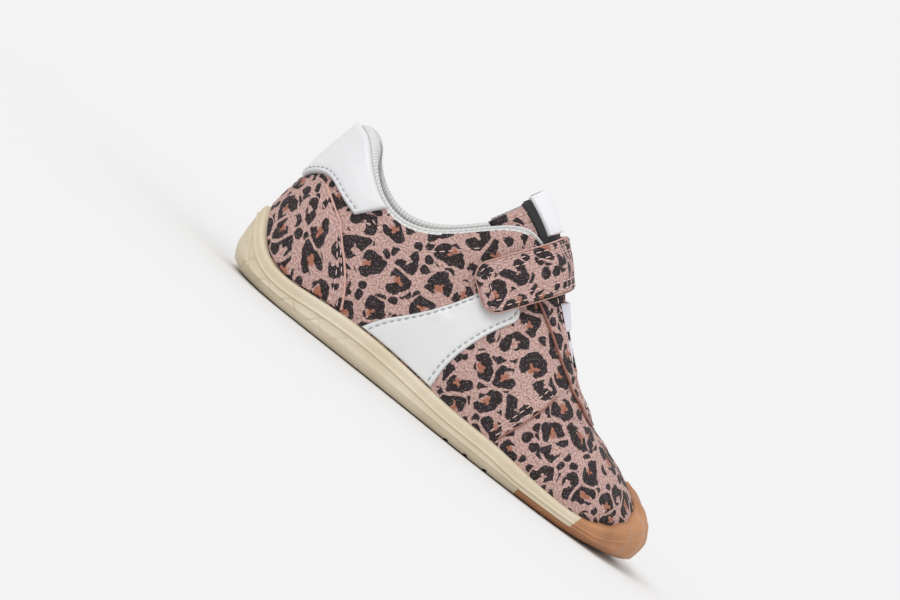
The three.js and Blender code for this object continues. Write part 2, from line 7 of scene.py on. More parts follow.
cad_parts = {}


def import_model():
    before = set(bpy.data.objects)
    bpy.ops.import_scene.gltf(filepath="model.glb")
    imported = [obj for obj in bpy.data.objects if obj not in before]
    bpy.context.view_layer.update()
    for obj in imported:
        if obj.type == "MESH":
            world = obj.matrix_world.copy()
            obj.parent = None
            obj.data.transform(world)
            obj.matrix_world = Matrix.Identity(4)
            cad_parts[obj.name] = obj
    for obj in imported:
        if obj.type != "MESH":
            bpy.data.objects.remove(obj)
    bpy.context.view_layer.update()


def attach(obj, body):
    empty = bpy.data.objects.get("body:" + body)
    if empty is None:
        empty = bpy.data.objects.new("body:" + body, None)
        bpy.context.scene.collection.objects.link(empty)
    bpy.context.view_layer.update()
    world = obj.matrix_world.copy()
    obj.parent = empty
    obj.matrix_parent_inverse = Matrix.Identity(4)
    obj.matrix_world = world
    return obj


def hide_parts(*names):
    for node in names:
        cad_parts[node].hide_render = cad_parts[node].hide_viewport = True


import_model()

# Sizes of the shoe in millimetres, in its own frame with x = 0 at the back of the last
LAST_LENGTH = 150.0
BALL_WIDTH = 60.0
HALF_BALL = BALL_WIDTH / 2
HUMP_HEIGHT = 66.0
UPPER_WALL = 2.0
COLLAR_PAD = 4.2
COLLAR_ROLL = 1.4
PAD_LOW, PAD_HIGH = 0.62, 0.95
OVERLAY = 1.0
CLEARANCE = 0.3
CUP_FLOOR = 5.0
LIP = 2.1
BEAD = 0.5
BEAD_DROP = 3.6
LOW_BAND = 4.0
RIM_HEIGHT = 10.0
TOE_SPRING = 1.2
SPRING_START, SPRING_END = 0.86, 1.04
HEEL_ROUND = 3.4
HEEL_LENGTH = 0.16
INSOLE = 3.0
PAD_THICKNESS = 2.4
PAD_START = 0.76
GUARD_START = 0.905
GUARD_SKEW = 0.06
GUARD_LEAN = 3.0
GUARD_THICKNESS = 4.2
GUARD_LOW, GUARD_HIGH = 0.88, 0.99
SCALLOP_COUNT = 44
GROOVE_WIDTH, GROOVE_DEPTH, GROOVE_PITCH = 1.4, 0.9, 7.5
FLEX_START, PAD_GROOVE_START = 0.58, 0.8
TONGUE = 2.4
TONGUE_FOLD = 2.2
LABEL, LABEL_WIDTH, LABEL_LOW, LABEL_TOP = 1.6, 14.0, 0.785, 1.03
ELASTIC, ELASTIC_SHARE, ELASTIC_SPAN = 1.1, 0.085, 13.8
ELASTIC_PLACES = (0.4, 0.515)
STRAP_WIDTH, STRAP_THICKNESS, STRAP_LIFT = 16.0, 2.8, 0.4
STRAP_ANGLE = math.radians(53)
STRAP_MIDDLE = 0.19 * LAST_LENGTH
STRAP_OUTER_END, STRAP_INNER_END = 0.494 * LAST_LENGTH, 0.54 * LAST_LENGTH
STRAP_RADIUS = 5.0
EYESTAY_WIDTH, EYESTAY_START, EYESTAY_GROWTH = 6.6, 0.272, 1.1
EYESTAY_NEAR, EYESTAY_FAR = 0.2, 0.9
TOP_SHARE = 0.99
SADDLE_HIGH = 0.69
TAB_LOW_REACH, TAB_TOP_REACH = 0.104, 0.136

# The solids' origin is under the middle of the shoe, at this place in the shoe's own frame
MIDDLE = np.array([77.549, 0.2125, 0.0])
MM = 0.001

# Ribs of the last from the heel round the outer side to the toe, with the inner side beside it
RIB_COLUMNS = ("foot_x", "foot_outer", "foot_inner", "top_x", "top_outer", "top_inner", "top_z",
               "lean", "rise", "roof", "swell", "drop", "rim_outer", "rim_inner", "pad")
RIB_TABLE = (
    (0.001, 0, 0, 0.041, 0, 0, 0.895, 0.12, 0.36, 0.1, 0.04, 0.3, 2.6, 2.6, 1),
    (0.041, 0.44, 0.43, 0.078, 0.32, 0.31, 0.895, 0.033, 0.33, 0.1, 0.02, 0.22, 1.18, 1.18, 0.95),
    (0.113, 0.673, 0.64, 0.111, 0.507, 0.493, 0.812, 0.08, 0.34, 0.12, 0.053, 0.26, 0.8, 0.8, 0.8),
    (0.2, 0.733, 0.687, 0.164, 0.613, 0.587, 0.706, 0.087, 0.35, 0.12, 0.053, 0.3, 1, 1, 0.55),
    (0.3, 0.753, 0.667, 0.231, 0.667, 0.627, 0.655, 0.08, 0.36, 0.15, 0.053, 0.34, 1.1, 1.1, 0.35),
    (0.4, 0.807, 0.687, 0.307, 0.667, 0.633, 0.715, 0.073, 0.36, 0.2, 0.06, 0.36, 1.07, 1.07, 0.3),
    (0.493, 0.893, 0.773, 0.383, 0.62, 0.607, 0.888, 0.06, 0.36, 0.26, 0.067, 0.38, 0.94, 0.94, 0.3),
    (0.58, 0.973, 0.893, 0.453, 0.547, 0.54, 1.03, 0.047, 0.36, 0.32, 0.067, 0.4, 0.85, 0.87, 0.2),
    (0.667, 1.027, 0.993, 0.531, 0.453, 0.453, 0.961, 0.033, 0.36, 0.38, 0.04, 0.42, 0.89, 0.9, 0),
    (0.753, 1.013, 1.04, 0.608, 0.393, 0.4, 0.788, 0.033, 0.36, 0.42, 0.013, 0.42, 0.73, 0.9, 0),
    (0.84, 0.933, 1.027, 0.68, 0.347, 0.36, 0.63, 0.033, 0.38, 0.46, 0.007, 0.4, 0.63, 0.95, 0),
    (0.923, 0.753, 0.92, 0.732, 0.287, 0.3, 0.53, 0.06, 0.4, 0.52, 0.013, 0.34, 0.62, 1.5, 0),
    (0.991, 0.387, 0.627, 0.76, 0.16, 0.173, 0.479, 0.093, 0.42, 0.56, 0.02, 0.28, 1.15, 2.1, 0),
    (1.02, -0.12, 0.12, 0.768, -0.007, 0.007, 0.47, 0.113, 0.42, 0.58, 0.02, 0.26, 1.8, 1.8, 0),
)

# Edges of the overlays, as shares of the loop round the foot and of a rib
COUNTER_REACH = (0.1375, 0.134, 0.128, 0.117, 0.095)
COUNTER_TOP = (0.5, 0.585, 0.6, 0.59, 0.575)
TAB_LOW = (0.52, 0.61, 0.645, 0.655, 0.7)
SADDLE_BACK = (0.158, 0.169, 0.19, 0.218, 0.252)
SADDLE_FRONT = (0.2325, 0.235, 0.248, 0.27, 0.299)

# Height and depth of the round front corner of the saddle, as shares of its height and of the loop
SADDLE_CORNER, SADDLE_ROUND = 0.15, 0.016

# Middle line of the tongue's face: x, z, half width and depth of its fold
TONGUE_TABLE = (
    (0.813, 0.356, 0.4, 0.13),
    (0.767, 0.421, 0.433, 0.18),
    (0.727, 0.509, 0.467, 0.25),
    (0.667, 0.664, 0.5, 0.35),
    (0.6, 0.845, 0.5, 0.4),
    (0.533, 1.008, 0.47, 0.46),
    (0.48, 1.106, 0.45, 0.55),
    (0.437, 1.159, 0.44, 0.6),
)

# Section of the sole's outside, finer than the solid's
CORNER_TABLE = ((-1.15, 1, 0), (-0.75, 0.96, 0.012), (-0.3, 0.9, 0.05), (0.0, 0.84, 0.1), (0.25, 0.78, 0.17),
                (0.5, 0.66, 0.26), (0.75, 0.52, 0.38), (0.92, 0.4, 0.5))
SIDE_TABLE = ((0, -1.9, 0.0), (0, -1.1, 0.0), (0, -0.75, 0.3), (0, -0.35, 0.8), (0, 0, 0.97), (0, 0.35, 0.8),
              (0, 0.75, 0.3), (0, 1.1, 0), (0.55, 0, 0.1), (1, -2.2, 0.02), (1, -1.2, -0.2), (1, -0.5, -0.8),
              (1, -0.1, -1.6), (1, 0, -2.4))


ROW_NAMES = ("foot_x", "foot_y", "top_x", "top_y", "top_z", "lean", "rise", "roof", "swell", "drop",
             "rim", "pad")


def side_rows(side):
    """Columns of the table for one side of the foot, in the order of ROW_NAMES."""
    sided = {"foot_y": "foot_" + side, "top_y": "top_" + side, "rim": "rim_" + side}
    return np.array(RIB_TABLE)[:, [RIB_COLUMNS.index(sided.get(name, name)) for name in ROW_NAMES]]


def loop_rows():
    """Rows all the way round: outer side to the toe, then back along the inner side."""
    outer = side_rows("outer")
    outer[:, [ROW_NAMES.index("foot_y"), ROW_NAMES.index("top_y")]] *= -1
    return np.vstack([outer, side_rows("inner")[-2:0:-1]])


ROWS = loop_rows()

# Small steps for slopes, as shares of a loop, a rib or the tongue
NUDGE, TONGUE_NUDGE = 0.002, 0.01


def paired(*values):
    """Values as arrays of one common shape."""
    return np.broadcast_arrays(*(np.asarray(value, float) for value in values))


def walk(points, axis=0):
    """Distances walked along one axis of a grid of points."""
    walked = np.cumsum(np.linalg.norm(np.diff(points, axis=axis), axis=-1), axis)
    return np.concatenate([np.zeros_like(np.take(walked, [0], axis)), walked], axis)


def bisect(near, far, before, rounds):
    """Last place between near and far where before holds, by halving."""
    for _ in range(rounds):
        middle = (near + far) / 2
        held = before(middle)
        near, far = np.where(held, middle, near), np.where(held, far, middle)
    return near


def spline_weights(t):
    s = 1 - t
    return np.stack([s**3, 3 * t**3 - 6 * t**2 + 4, 3 * s**3 - 6 * s**2 + 4, t**3]) / 6


def loop_row(u):
    count = len(ROWS)
    place = np.mod(u, 1.0) * count
    index = np.floor(place).astype(int)
    weights = spline_weights(place - index)
    total = sum(weights[k][..., None] * ROWS[(index + k - 1) % count] for k in range(4))
    return {name: total[..., n] for n, name in enumerate(ROW_NAMES)}


def clamped(table, share):
    """Row of an open table at a share of its length."""
    table = np.atleast_2d(np.array(table, float).T).T
    share = np.asarray(share, float)
    first, last = 2 * table[0] - table[1], 2 * table[-1] - table[-2]
    padded = np.vstack([first, table, last])
    place = share * (len(table) - 1)
    index = np.clip(np.floor(place).astype(int), 0, len(table) - 2)
    weights = spline_weights(place - index)
    return sum(weights[k][..., None] * padded[index + k] for k in range(4))


def smooth_step(low, high, value):
    t = np.clip((value - low) / (high - low), 0, 1)
    return t * t * (3 - 2 * t)


def mix(low, high, share):
    return low + (high - low) * share


def unit(vectors):
    return vectors / np.maximum(np.linalg.norm(vectors, axis=-1, keepdims=True), 1e-9)


def spring_at(x):
    return TOE_SPRING * smooth_step(SPRING_START * LAST_LENGTH, SPRING_END * LAST_LENGTH, x)


def foot_xy(u):
    row = loop_row(u)
    return np.stack([row["foot_x"] * LAST_LENGTH, row["foot_y"] * HALF_BALL], -1)


def foot_normal(u):
    along = unit(foot_xy(u + NUDGE) - foot_xy(u - NUDGE))
    return np.stack([along[..., 1], -along[..., 0]], -1)


def upper_point(u, v):
    """Outside of the upper: u runs round the foot, v from the feather line up."""
    u, v = paired(u, v)
    row = loop_row(u)
    normal = foot_normal(u)
    foot = foot_xy(u)
    foot = np.concatenate([foot, (CUP_FLOOR + CLEARANCE + spring_at(foot[..., 0]))[..., None]], -1)
    top = np.stack([row["top_x"] * LAST_LENGTH, row["top_y"] * HALF_BALL, row["top_z"] * HUMP_HEIGHT], -1)
    height = top[..., 2] - foot[..., 2]
    low = foot.copy()
    low[..., :2] += normal * (row["lean"] * HALF_BALL)[..., None]
    low[..., 2] += row["rise"] * height
    high = top.copy()
    high[..., :2] += (foot - top)[..., :2] * row["roof"][..., None]
    high[..., :2] += normal * (row["swell"] * HALF_BALL)[..., None]
    high[..., 2] -= row["drop"] * height
    t = v[..., None]
    s = 1 - t
    return foot * s**3 + low * 3 * s * s * t + high * 3 * s * t * t + top * t**3


def upper_normal(u, v):
    u, v = paired(u, v)
    around = upper_point(u + NUDGE, v) - upper_point(u - NUDGE, v)
    up = upper_point(u, np.minimum(v + NUDGE, 1)) - upper_point(u, np.maximum(v - NUDGE, 0))
    return unit(np.cross(around, up))


def upper_offset(u, v, distance):
    return upper_point(u, v) + upper_normal(u, v) * np.asarray(distance)[..., None]


def wall_at(u, v):
    return UPPER_WALL + COLLAR_PAD * loop_row(u)["pad"] * smooth_step(PAD_LOW, PAD_HIGH, v)


def share_at_height(u, height):
    u, height = paired(u, height)
    return bisect(np.zeros(u.shape), np.ones(u.shape), lambda v: upper_point(u, v)[..., 2] < height, 22)


def share_below_top(u, distance):
    """Share of a rib at a distance down from its top edge."""
    u = np.asarray(u, float)
    shares = np.linspace(1, 0, 201)
    walked = walk(upper_point(u[..., None], shares), u.ndim).reshape(-1, len(shares))
    wanted = np.ravel(np.broadcast_to(distance, u.shape))
    flat = [np.interp(here, line, shares) for here, line in zip(wanted, walked)]
    return np.array(flat).reshape(u.shape)


def rim_at(u):
    return loop_row(u)["rim"] * RIM_HEIGHT + spring_at(foot_xy(u)[..., 0])


def above_rim(u):
    return share_at_height(u, rim_at(u) + 2 * CLEARANCE)


# Places of the overlays, from two shares across and along each
def counter_place(a, b):
    front = clamped(COUNTER_REACH, b)[..., 0]
    u = (2 * a - 1) * front
    top = clamped(COUNTER_TOP, np.abs(2 * a - 1))[..., 0]
    return u, mix(above_rim(u), top, b)


def tab_place(a, b):
    across = 2 * a - 1
    low = clamped(TAB_LOW, np.abs(across))[..., 0]
    return across * mix(TAB_LOW_REACH, TAB_TOP_REACH, b), mix(low, TOP_SHARE, b)


def saddle_place(a, b, inner):
    back = clamped(SADDLE_BACK, b)[..., 0]
    corner = np.clip(1 - (1 - b) / SADDLE_CORNER, 0, 1)
    front = clamped(SADDLE_FRONT, b)[..., 0] - SADDLE_ROUND * (1 - np.sqrt(1 - corner**2))
    u = 1 - mix(front, back, a) if inner else mix(back, front, a)
    return u, mix(above_rim(u), SADDLE_HIGH, b)


def eyestay_place(a, b):
    u = mix(EYESTAY_START, 1 - EYESTAY_START, a)
    width = EYESTAY_WIDTH * (1 + EYESTAY_GROWTH * smooth_step(EYESTAY_NEAR, EYESTAY_FAR, np.abs(2 * a - 1)))
    return u, mix(share_below_top(u, width), TOP_SHARE, b)


def tongue_point(share, across):
    share, across = paired(share, across)
    row, ahead = clamped(TONGUE_TABLE, share), clamped(TONGUE_TABLE, share + TONGUE_NUDGE)
    along = np.stack([(ahead - row)[..., 0] * LAST_LENGTH, (ahead - row)[..., 1] * HUMP_HEIGHT], -1)
    along = unit(along)
    fall = row[..., 3] * HALF_BALL * np.abs(across) ** TONGUE_FOLD
    return np.stack([row[..., 0] * LAST_LENGTH - fall * along[..., 1], row[..., 2] * HALF_BALL * across,
                     row[..., 1] * HUMP_HEIGHT + fall * along[..., 0]], -1)


def tongue_offset(share, across, distance):
    share, across = paired(share, across)
    wide = tongue_point(share, across + TONGUE_NUDGE) - tongue_point(share, across - TONGUE_NUDGE)
    up = tongue_point(share + TONGUE_NUDGE, across) - tongue_point(share - TONGUE_NUDGE, across)
    return tongue_point(share, across) + unit(np.cross(wide, up)) * np.asarray(distance)[..., None]


def tongue_half_width(share):
    return clamped(TONGUE_TABLE, share)[..., 2] * HALF_BALL


# Strap: planes across the instep, and the hull of what the strap holds down in each
STRAP_ALONG = np.array([math.sin(STRAP_ANGLE), 0, -math.cos(STRAP_ANGLE)])
STRAP_UP = np.array([math.cos(STRAP_ANGLE), 0, math.sin(STRAP_ANGLE)])
STRAP_SAMPLES = 240
STRAP_SPREAD = 7
STRAP_SPAN = (0.15, 0.85)


def crossings(grid, plane):
    """Places where the lines of a grid of points cross a strap plane, as width and height in it."""
    here = grid @ STRAP_ALONG - plane
    found = []
    for first, second, a, b in ((here[1:], here[:-1], grid[1:], grid[:-1]),
                                (here[:, 1:], here[:, :-1], grid[:, 1:], grid[:, :-1])):
        cut = first * second < 0
        share = (second[cut] / (second[cut] - first[cut]))[:, None]
        point = b[cut] + (a[cut] - b[cut]) * share
        found.append(np.stack([point[:, 1], point @ STRAP_UP], -1))
    return np.vstack(found)


def upper_hull(points):
    hull = []
    for point in points[np.argsort(points[:, 0])]:
        while len(hull) > 1:
            (ax, ay), (bx, by) = hull[-2], hull[-1]
            if (bx - ax) * (point[1] - ay) - (by - ay) * (point[0] - ax) < 0:
                break
            hull.pop()
        hull.append(point)
    return np.array(hull)


def respace(points, count):
    walked = walk(points)
    places = np.linspace(0, walked[-1], count)
    return np.stack([np.interp(places, walked, points[:, k]) for k in range(points.shape[1])], -1)


def strap_path(plane):
    """Line of the strap's underside in one plane: the hull, smoothed and cut off at both ends."""
    shares = np.linspace(0, 1, 61)
    a, b = np.meshgrid(shares, shares, indexing="ij")
    skin = upper_offset(mix(*STRAP_SPAN, a), b, 2 * CLEARANCE + OVERLAY)
    tongue = tongue_offset(b, 2 * a - 1, CLEARANCE)
    hull = upper_hull(np.vstack([crossings(skin, plane), crossings(tongue, plane)]))
    line = respace(hull, STRAP_SAMPLES + 1)
    kernel = np.hanning(2 * STRAP_SPREAD + 3)[1:-1]
    padded = np.vstack([np.repeat(line[:1], STRAP_SPREAD, 0), line, np.repeat(line[-1:], STRAP_SPREAD, 0)])
    line = np.stack([np.convolve(padded[:, k], kernel / kernel.sum(), "valid") for k in range(2)], -1)
    peak = int(np.argmax(line[:, 1]))
    index = np.arange(len(line))
    kept = line[line[:, 1] > np.where(index < peak, STRAP_OUTER_END, STRAP_INNER_END)]
    return respace(kept, STRAP_SAMPLES + 1)


STRAP_PATHS = [strap_path(STRAP_MIDDLE + side * STRAP_WIDTH) for side in (-0.5, 0, 0.5)]
STRAP_LENGTH = walk(STRAP_PATHS[1])[-1]


def strap_point(a, b, height):
    """Point of the strap from shares along and across it, with its free outer end rounded."""
    walked = a * STRAP_LENGTH
    left = np.clip(1 - walked / STRAP_RADIUS, 0, 1)
    half = 1 - STRAP_RADIUS * (1 - np.sqrt(1 - left**2)) / (STRAP_WIDTH / 2)
    side = (1 - 2 * b) * half
    weights = (side * (side - 1) / 2, 1 - side**2, side * (side + 1) / 2)

    def flat(share):
        place = np.clip(share, 0, 1) * STRAP_SAMPLES
        lines = [np.stack([np.interp(place, np.arange(STRAP_SAMPLES + 1), path[:, k]) for k in range(2)], -1)
                 for path in STRAP_PATHS]
        return sum(w[..., None] * line for w, line in zip(weights, lines))

    here = flat(a)
    ahead = unit(flat(a + 0.01) - flat(a - 0.01))
    out_y = here[..., 0] - ahead[..., 1] * height
    out_up = here[..., 1] + ahead[..., 0] * height
    plane = STRAP_MIDDLE + side * STRAP_WIDTH / 2
    across = np.zeros(out_y.shape + (3,))
    across[..., 1] = out_y
    return across + plane[..., None] * STRAP_ALONG + out_up[..., None] * STRAP_UP


def grid_faces(rows, columns, wrap_rows=False, wrap_columns=False):
    i = np.arange(rows if wrap_rows else rows - 1)
    j = np.arange(columns if wrap_columns else columns - 1)
    a, b = np.meshgrid(i, j, indexing="ij")
    c, d = (a + 1) % rows, (b + 1) % columns
    return np.stack([a * columns + b, a * columns + d, c * columns + d, c * columns + b], -1).reshape(-1, 4)


# Flat cut of the upper: each rib is turned down flat about its top edge, in millimetres
CUT_U = np.linspace(0, 1, 521)
CUT_V = np.linspace(0, 1, 101)
COARSE_U, COARSE_V = CUT_U[::4], CUT_V[::5]


def lay_flat():
    """First flat place of each point, and its distance below the top edge."""
    points = upper_point(CUT_U[:, None], CUT_V[None, :])
    out = foot_normal(CUT_U)[:, None]
    around = np.stack([-out[..., 1], out[..., 0]], -1)
    steps = points[:, :-1] - points[:, 1:]
    sideways = (steps[..., :2] * around).sum(-1)
    down = np.sqrt(np.maximum((steps**2).sum(-1) - sideways**2, 0))
    moved = around * sideways[..., None] + out * down[..., None]
    moved = np.concatenate([np.cumsum(moved[:, ::-1], 1)[:, ::-1], np.zeros((len(CUT_U), 1, 2))], 1)
    walked = walk(points[:, ::-1], 1)[:, ::-1]
    return np.concatenate([points[:, -1:, :2] + moved, walked[..., None]], -1)


def relaxed(flat, shares, solid, rounds=70):
    """Flat cut whose triangles keep the size they have on the shoe as well as they can together."""
    quads = grid_faces(*shares)
    triangles = np.vstack([quads[:, [0, 1, 2]], quads[:, [0, 2, 3]]])
    corner = solid[triangles]
    first, second = corner[:, 1] - corner[:, 0], corner[:, 2] - corner[:, 0]
    length = np.linalg.norm(first, axis=-1)
    along = (first * second).sum(-1) / length
    away = np.linalg.norm(np.cross(first, second), axis=-1) / length
    placed = flat[triangles]
    one, two = placed[:, 1] - placed[:, 0], placed[:, 2] - placed[:, 0]
    turned = np.sign((one[:, 0] * two[:, 1] - one[:, 1] * two[:, 0]).sum())
    zero = np.zeros(len(triangles))
    still = np.stack([np.stack([zero, zero], -1), np.stack([length, zero], -1),
                      np.stack([along, turned * away], -1)], 1)
    edges = []
    matrix = np.zeros((len(flat), len(flat)))
    matrix[0, 0] = 1
    for i, j, k in ((0, 1, 2), (1, 2, 0), (2, 0, 1)):
        a, b = corner[:, i] - corner[:, k], corner[:, j] - corner[:, k]
        pull = np.maximum((a * b).sum(-1) / np.linalg.norm(np.cross(a, b), axis=-1), 0.05) / 2
        tail, head = triangles[:, i], triangles[:, j]
        for row, column, sign in ((tail, tail, 1), (head, head, 1), (tail, head, -1), (head, tail, -1)):
            np.add.at(matrix, (row, column), sign * pull)
        edges.append((tail, head, pull[:, None], still[:, i] - still[:, j]))
    inverse = np.linalg.inv(matrix)
    for _ in range(rounds):
        cosine, sine = zero.copy(), zero.copy()
        for tail, head, pull, edge in edges:
            now = flat[tail] - flat[head]
            cosine += pull[:, 0] * (now * edge).sum(-1)
            sine += pull[:, 0] * (now[:, 1] * edge[:, 0] - now[:, 0] * edge[:, 1])
        size = np.maximum(np.hypot(cosine, sine), 1e-9)
        cosine, sine = cosine / size, sine / size
        target = np.zeros_like(flat)
        target[0] = flat[0]
        for tail, head, pull, edge in edges:
            wanted = pull * np.stack([cosine * edge[:, 0] - sine * edge[:, 1],
                                      sine * edge[:, 0] + cosine * edge[:, 1]], -1)
            np.add.at(target, tail, wanted)
            np.add.at(target, head, -wanted)
        flat = inverse @ target
    return flat


def cut_table():
    """Flat places of the cloth at fine shares, relaxed at every fourth and fifth of them."""
    table = lay_flat()
    shape = (len(COARSE_U), len(COARSE_V))
    solid = upper_point(COARSE_U[:, None], COARSE_V[None, :])
    flat = relaxed(table[::4, ::5, :2].reshape(-1, 2), shape, solid.reshape(-1, 3)).reshape(*shape, 2)
    for axis, (few, many) in enumerate(((COARSE_U, CUT_U), (COARSE_V, CUT_V))):
        moved = np.moveaxis(flat, axis, 0)
        index = np.clip(np.searchsorted(few, many, "right") - 1, 0, len(few) - 2)
        share = ((many - few[index]) / (few[index + 1] - few[index]))[:, None, None]
        flat = np.moveaxis(mix(moved[index], moved[index + 1], share), 0, axis)
    table[..., :2] = flat
    return table


CUT_TABLE = cut_table()


def read_cut(u, v):
    """Flat place and distance below the top edge, read from the table."""
    u, v = paired(u, v)
    across = np.mod(u, 1) * (len(CUT_U) - 1)
    along = np.clip(v, 0, 1) * (len(CUT_V) - 1)
    i = np.minimum(across.astype(int), len(CUT_U) - 2)
    j = np.minimum(along.astype(int), len(CUT_V) - 2)
    s, t = (across - i)[..., None], (along - j)[..., None]
    low = mix(CUT_TABLE[i, j], CUT_TABLE[i + 1, j], s)
    high = mix(CUT_TABLE[i, j + 1], CUT_TABLE[i + 1, j + 1], s)
    return mix(low, high, t)


def below_top(u, v):
    return read_cut(u, v)[..., 2]


def flat_cut(u, v):
    return read_cut(u, v)[..., :2]


# Creases on the sides: start and end in x and z, depth and half width, in millimetres
SIDE_CREASES = (
    (57, 45, 64, 32, 0.65, 1.7),
    (50, 38, 58, 30, 0.45, 1.6),
    (40, 26, 47, 16, 0.45, 1.7),
    (86, 27, 95, 14, 0.6, 2.1),
    (104, 20, 111, 11, 0.7, 2.0),
    (110, 25, 117, 14, 0.7, 1.8),
    (94, 36, 101, 27, 0.45, 1.6),
)
# Creases over the vamp: start and end in x and y, depth and half width
VAMP_CREASES = (
    (117, -16, 121, 14, 0.65, 2.0),
    (122, -24, 125, 20, 0.6, 2.2),
    (113, -27, 118, -12, 0.65, 1.8),
    (113, 27, 119, 12, 0.6, 1.8),
    (129, -14, 131, 16, 0.3, 2.4),
)
# Front edge of the quarters, where they lie on the vamp: x and z
QUARTER_EDGE = ((98.5, 6), (100.5, 12), (103, 18), (105.5, 26), (107, 34))
QUARTER_STEP = 0.45
QUARTER_START = (84, 96)
RIDGE_SHARE, RIDGE_WIDTH = 0.45, 2.2
# How far a crease fades at its ends, and how steep a surface each kind lies on
CREASE_ENDS = 0.35
ON_SIDE, ON_VAMP = (0.45, 0.75), (0.35, 0.65)


def crease_line(flat, x0, y0, x1, y1, depth, width):
    """A soft trough along a line with a low ridge on both of its sides."""
    start, way = np.array([x0, y0], float), np.array([x1 - x0, y1 - y0], float)
    share = np.clip(((flat - start) @ way) / (way @ way), 0, 1)
    away = np.linalg.norm(flat - start - share[..., None] * way, axis=-1)
    fade = CREASE_ENDS + (1 - CREASE_ENDS) * np.sin(math.pi * np.clip(share, 0.05, 0.95))
    trough = np.exp(-(away / width) ** 2)
    ridge = np.exp(-((away - RIDGE_WIDTH * width) / width) ** 2)
    return -depth * fade * (trough - RIDGE_SHARE * ridge)


def quarter_edge(height):
    edge = np.array(QUARTER_EDGE, float)
    return np.interp(height, edge[:, 1], edge[:, 0])


def crease_depth(points, normals):
    side = np.abs(normals[..., 1])
    behind = quarter_edge(points[..., 2]) - points[..., 0]
    total = QUARTER_STEP * smooth_step(-0.4, 0.4, behind) * smooth_step(*QUARTER_START, points[..., 0])
    for row in SIDE_CREASES:
        total += crease_line(points[..., [0, 2]], *row) * smooth_step(*ON_SIDE, side)
    for row in VAMP_CREASES:
        total += crease_line(points[..., :2], *row) * smooth_step(*ON_VAMP, normals[..., 2])
    return total


def skin_offset(u, v, distance):
    """The upper's outside with its creases, moved out by a distance."""
    points, normals = upper_point(u, v), upper_normal(u, v)
    return points + normals * (crease_depth(points, normals) + distance)[..., None]


# Meshes
def to_frame(points):
    return (np.asarray(points, float).reshape(-1, 3) - MIDDLE) * MM


class Shell:
    """Points in millimetres with faces, the cloth's flat coordinates and a material number for each face."""

    def __init__(self, points, faces, cloth=None, look=0):
        self.points = np.asarray(points, float).reshape(-1, 3)
        self.faces = [np.asarray(group) for group in faces]
        self.cloth = np.zeros_like(self.points)
        if cloth is not None:
            cloth = np.asarray(cloth, float).reshape(len(self.points), -1)
            self.cloth[:, :cloth.shape[1]] = cloth
        self.looks = [np.full(len(group), look) if np.isscalar(look) else look[n]
                      for n, group in enumerate(self.faces)]


def make_piece(name, shells, materials, replaced=()):
    """One object from shells, riding on the shoe's body."""
    points = np.vstack([shell.points for shell in shells])
    cloth = np.vstack([shell.cloth for shell in shells])
    starts = np.cumsum([0] + [len(shell.points) for shell in shells])
    groups = [(group + start, looks) for shell, start in zip(shells, starts)
              for group, looks in zip(shell.faces, shell.looks)]
    sizes = np.concatenate([np.full(len(group), group.shape[1]) for group, _ in groups])
    corners = np.concatenate([group.ravel() for group, _ in groups])
    mesh = bpy.data.meshes.new(name)
    mesh.vertices.add(len(points))
    mesh.vertices.foreach_set("co", to_frame(points).astype(np.float32).ravel())
    mesh.loops.add(len(corners))
    mesh.loops.foreach_set("vertex_index", corners.astype(np.int32))
    mesh.polygons.add(len(sizes))
    mesh.polygons.foreach_set("loop_start", (np.cumsum(sizes) - sizes).astype(np.int32))
    mesh.polygons.foreach_set("use_smooth", np.ones(len(sizes), bool))
    for material in materials:
        mesh.materials.append(material)
    looks = np.concatenate([looks for _, looks in groups])
    mesh.polygons.foreach_set("material_index", looks.astype(np.int32))
    attribute = mesh.attributes.new("cloth", "FLOAT_VECTOR", "POINT")
    attribute.data.foreach_set("vector", cloth.astype(np.float32).ravel())
    mesh.update(calc_edges=True)
    mesh.validate()
    piece = bpy.data.objects.new(name, mesh)
    bpy.context.scene.collection.objects.link(piece)
    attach(piece, "root")
    if replaced:
        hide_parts(*replaced)
    return piece


EDGE_SHARES = (0, 0.06, 0.2, 0.45, 0.75, 1.1)


def shares_with_edges(length, step, radius):
    """Shares along a length, close together near both ends where an edge is rounded."""
    edge = np.array(EDGE_SHARES) * radius / length
    middle = np.linspace(edge[-1], 1 - edge[-1], max(int(length / step), 3))
    return np.concatenate([edge[:-1], middle, 1 - edge[:-1][::-1]])


def edge_distances(points):
    """Distances in millimetres of a grid's points from its four edges: left, right, bottom, top."""
    left, bottom = walk(points, 0), walk(points, 1)
    return {"l": left, "r": left[-1:] - left, "b": bottom, "t": bottom[:, -1:] - bottom}


SEAM_WIDTH, SEAM_DEPTH = 0.75, 0.28
NORMAL_STEP = 0.5


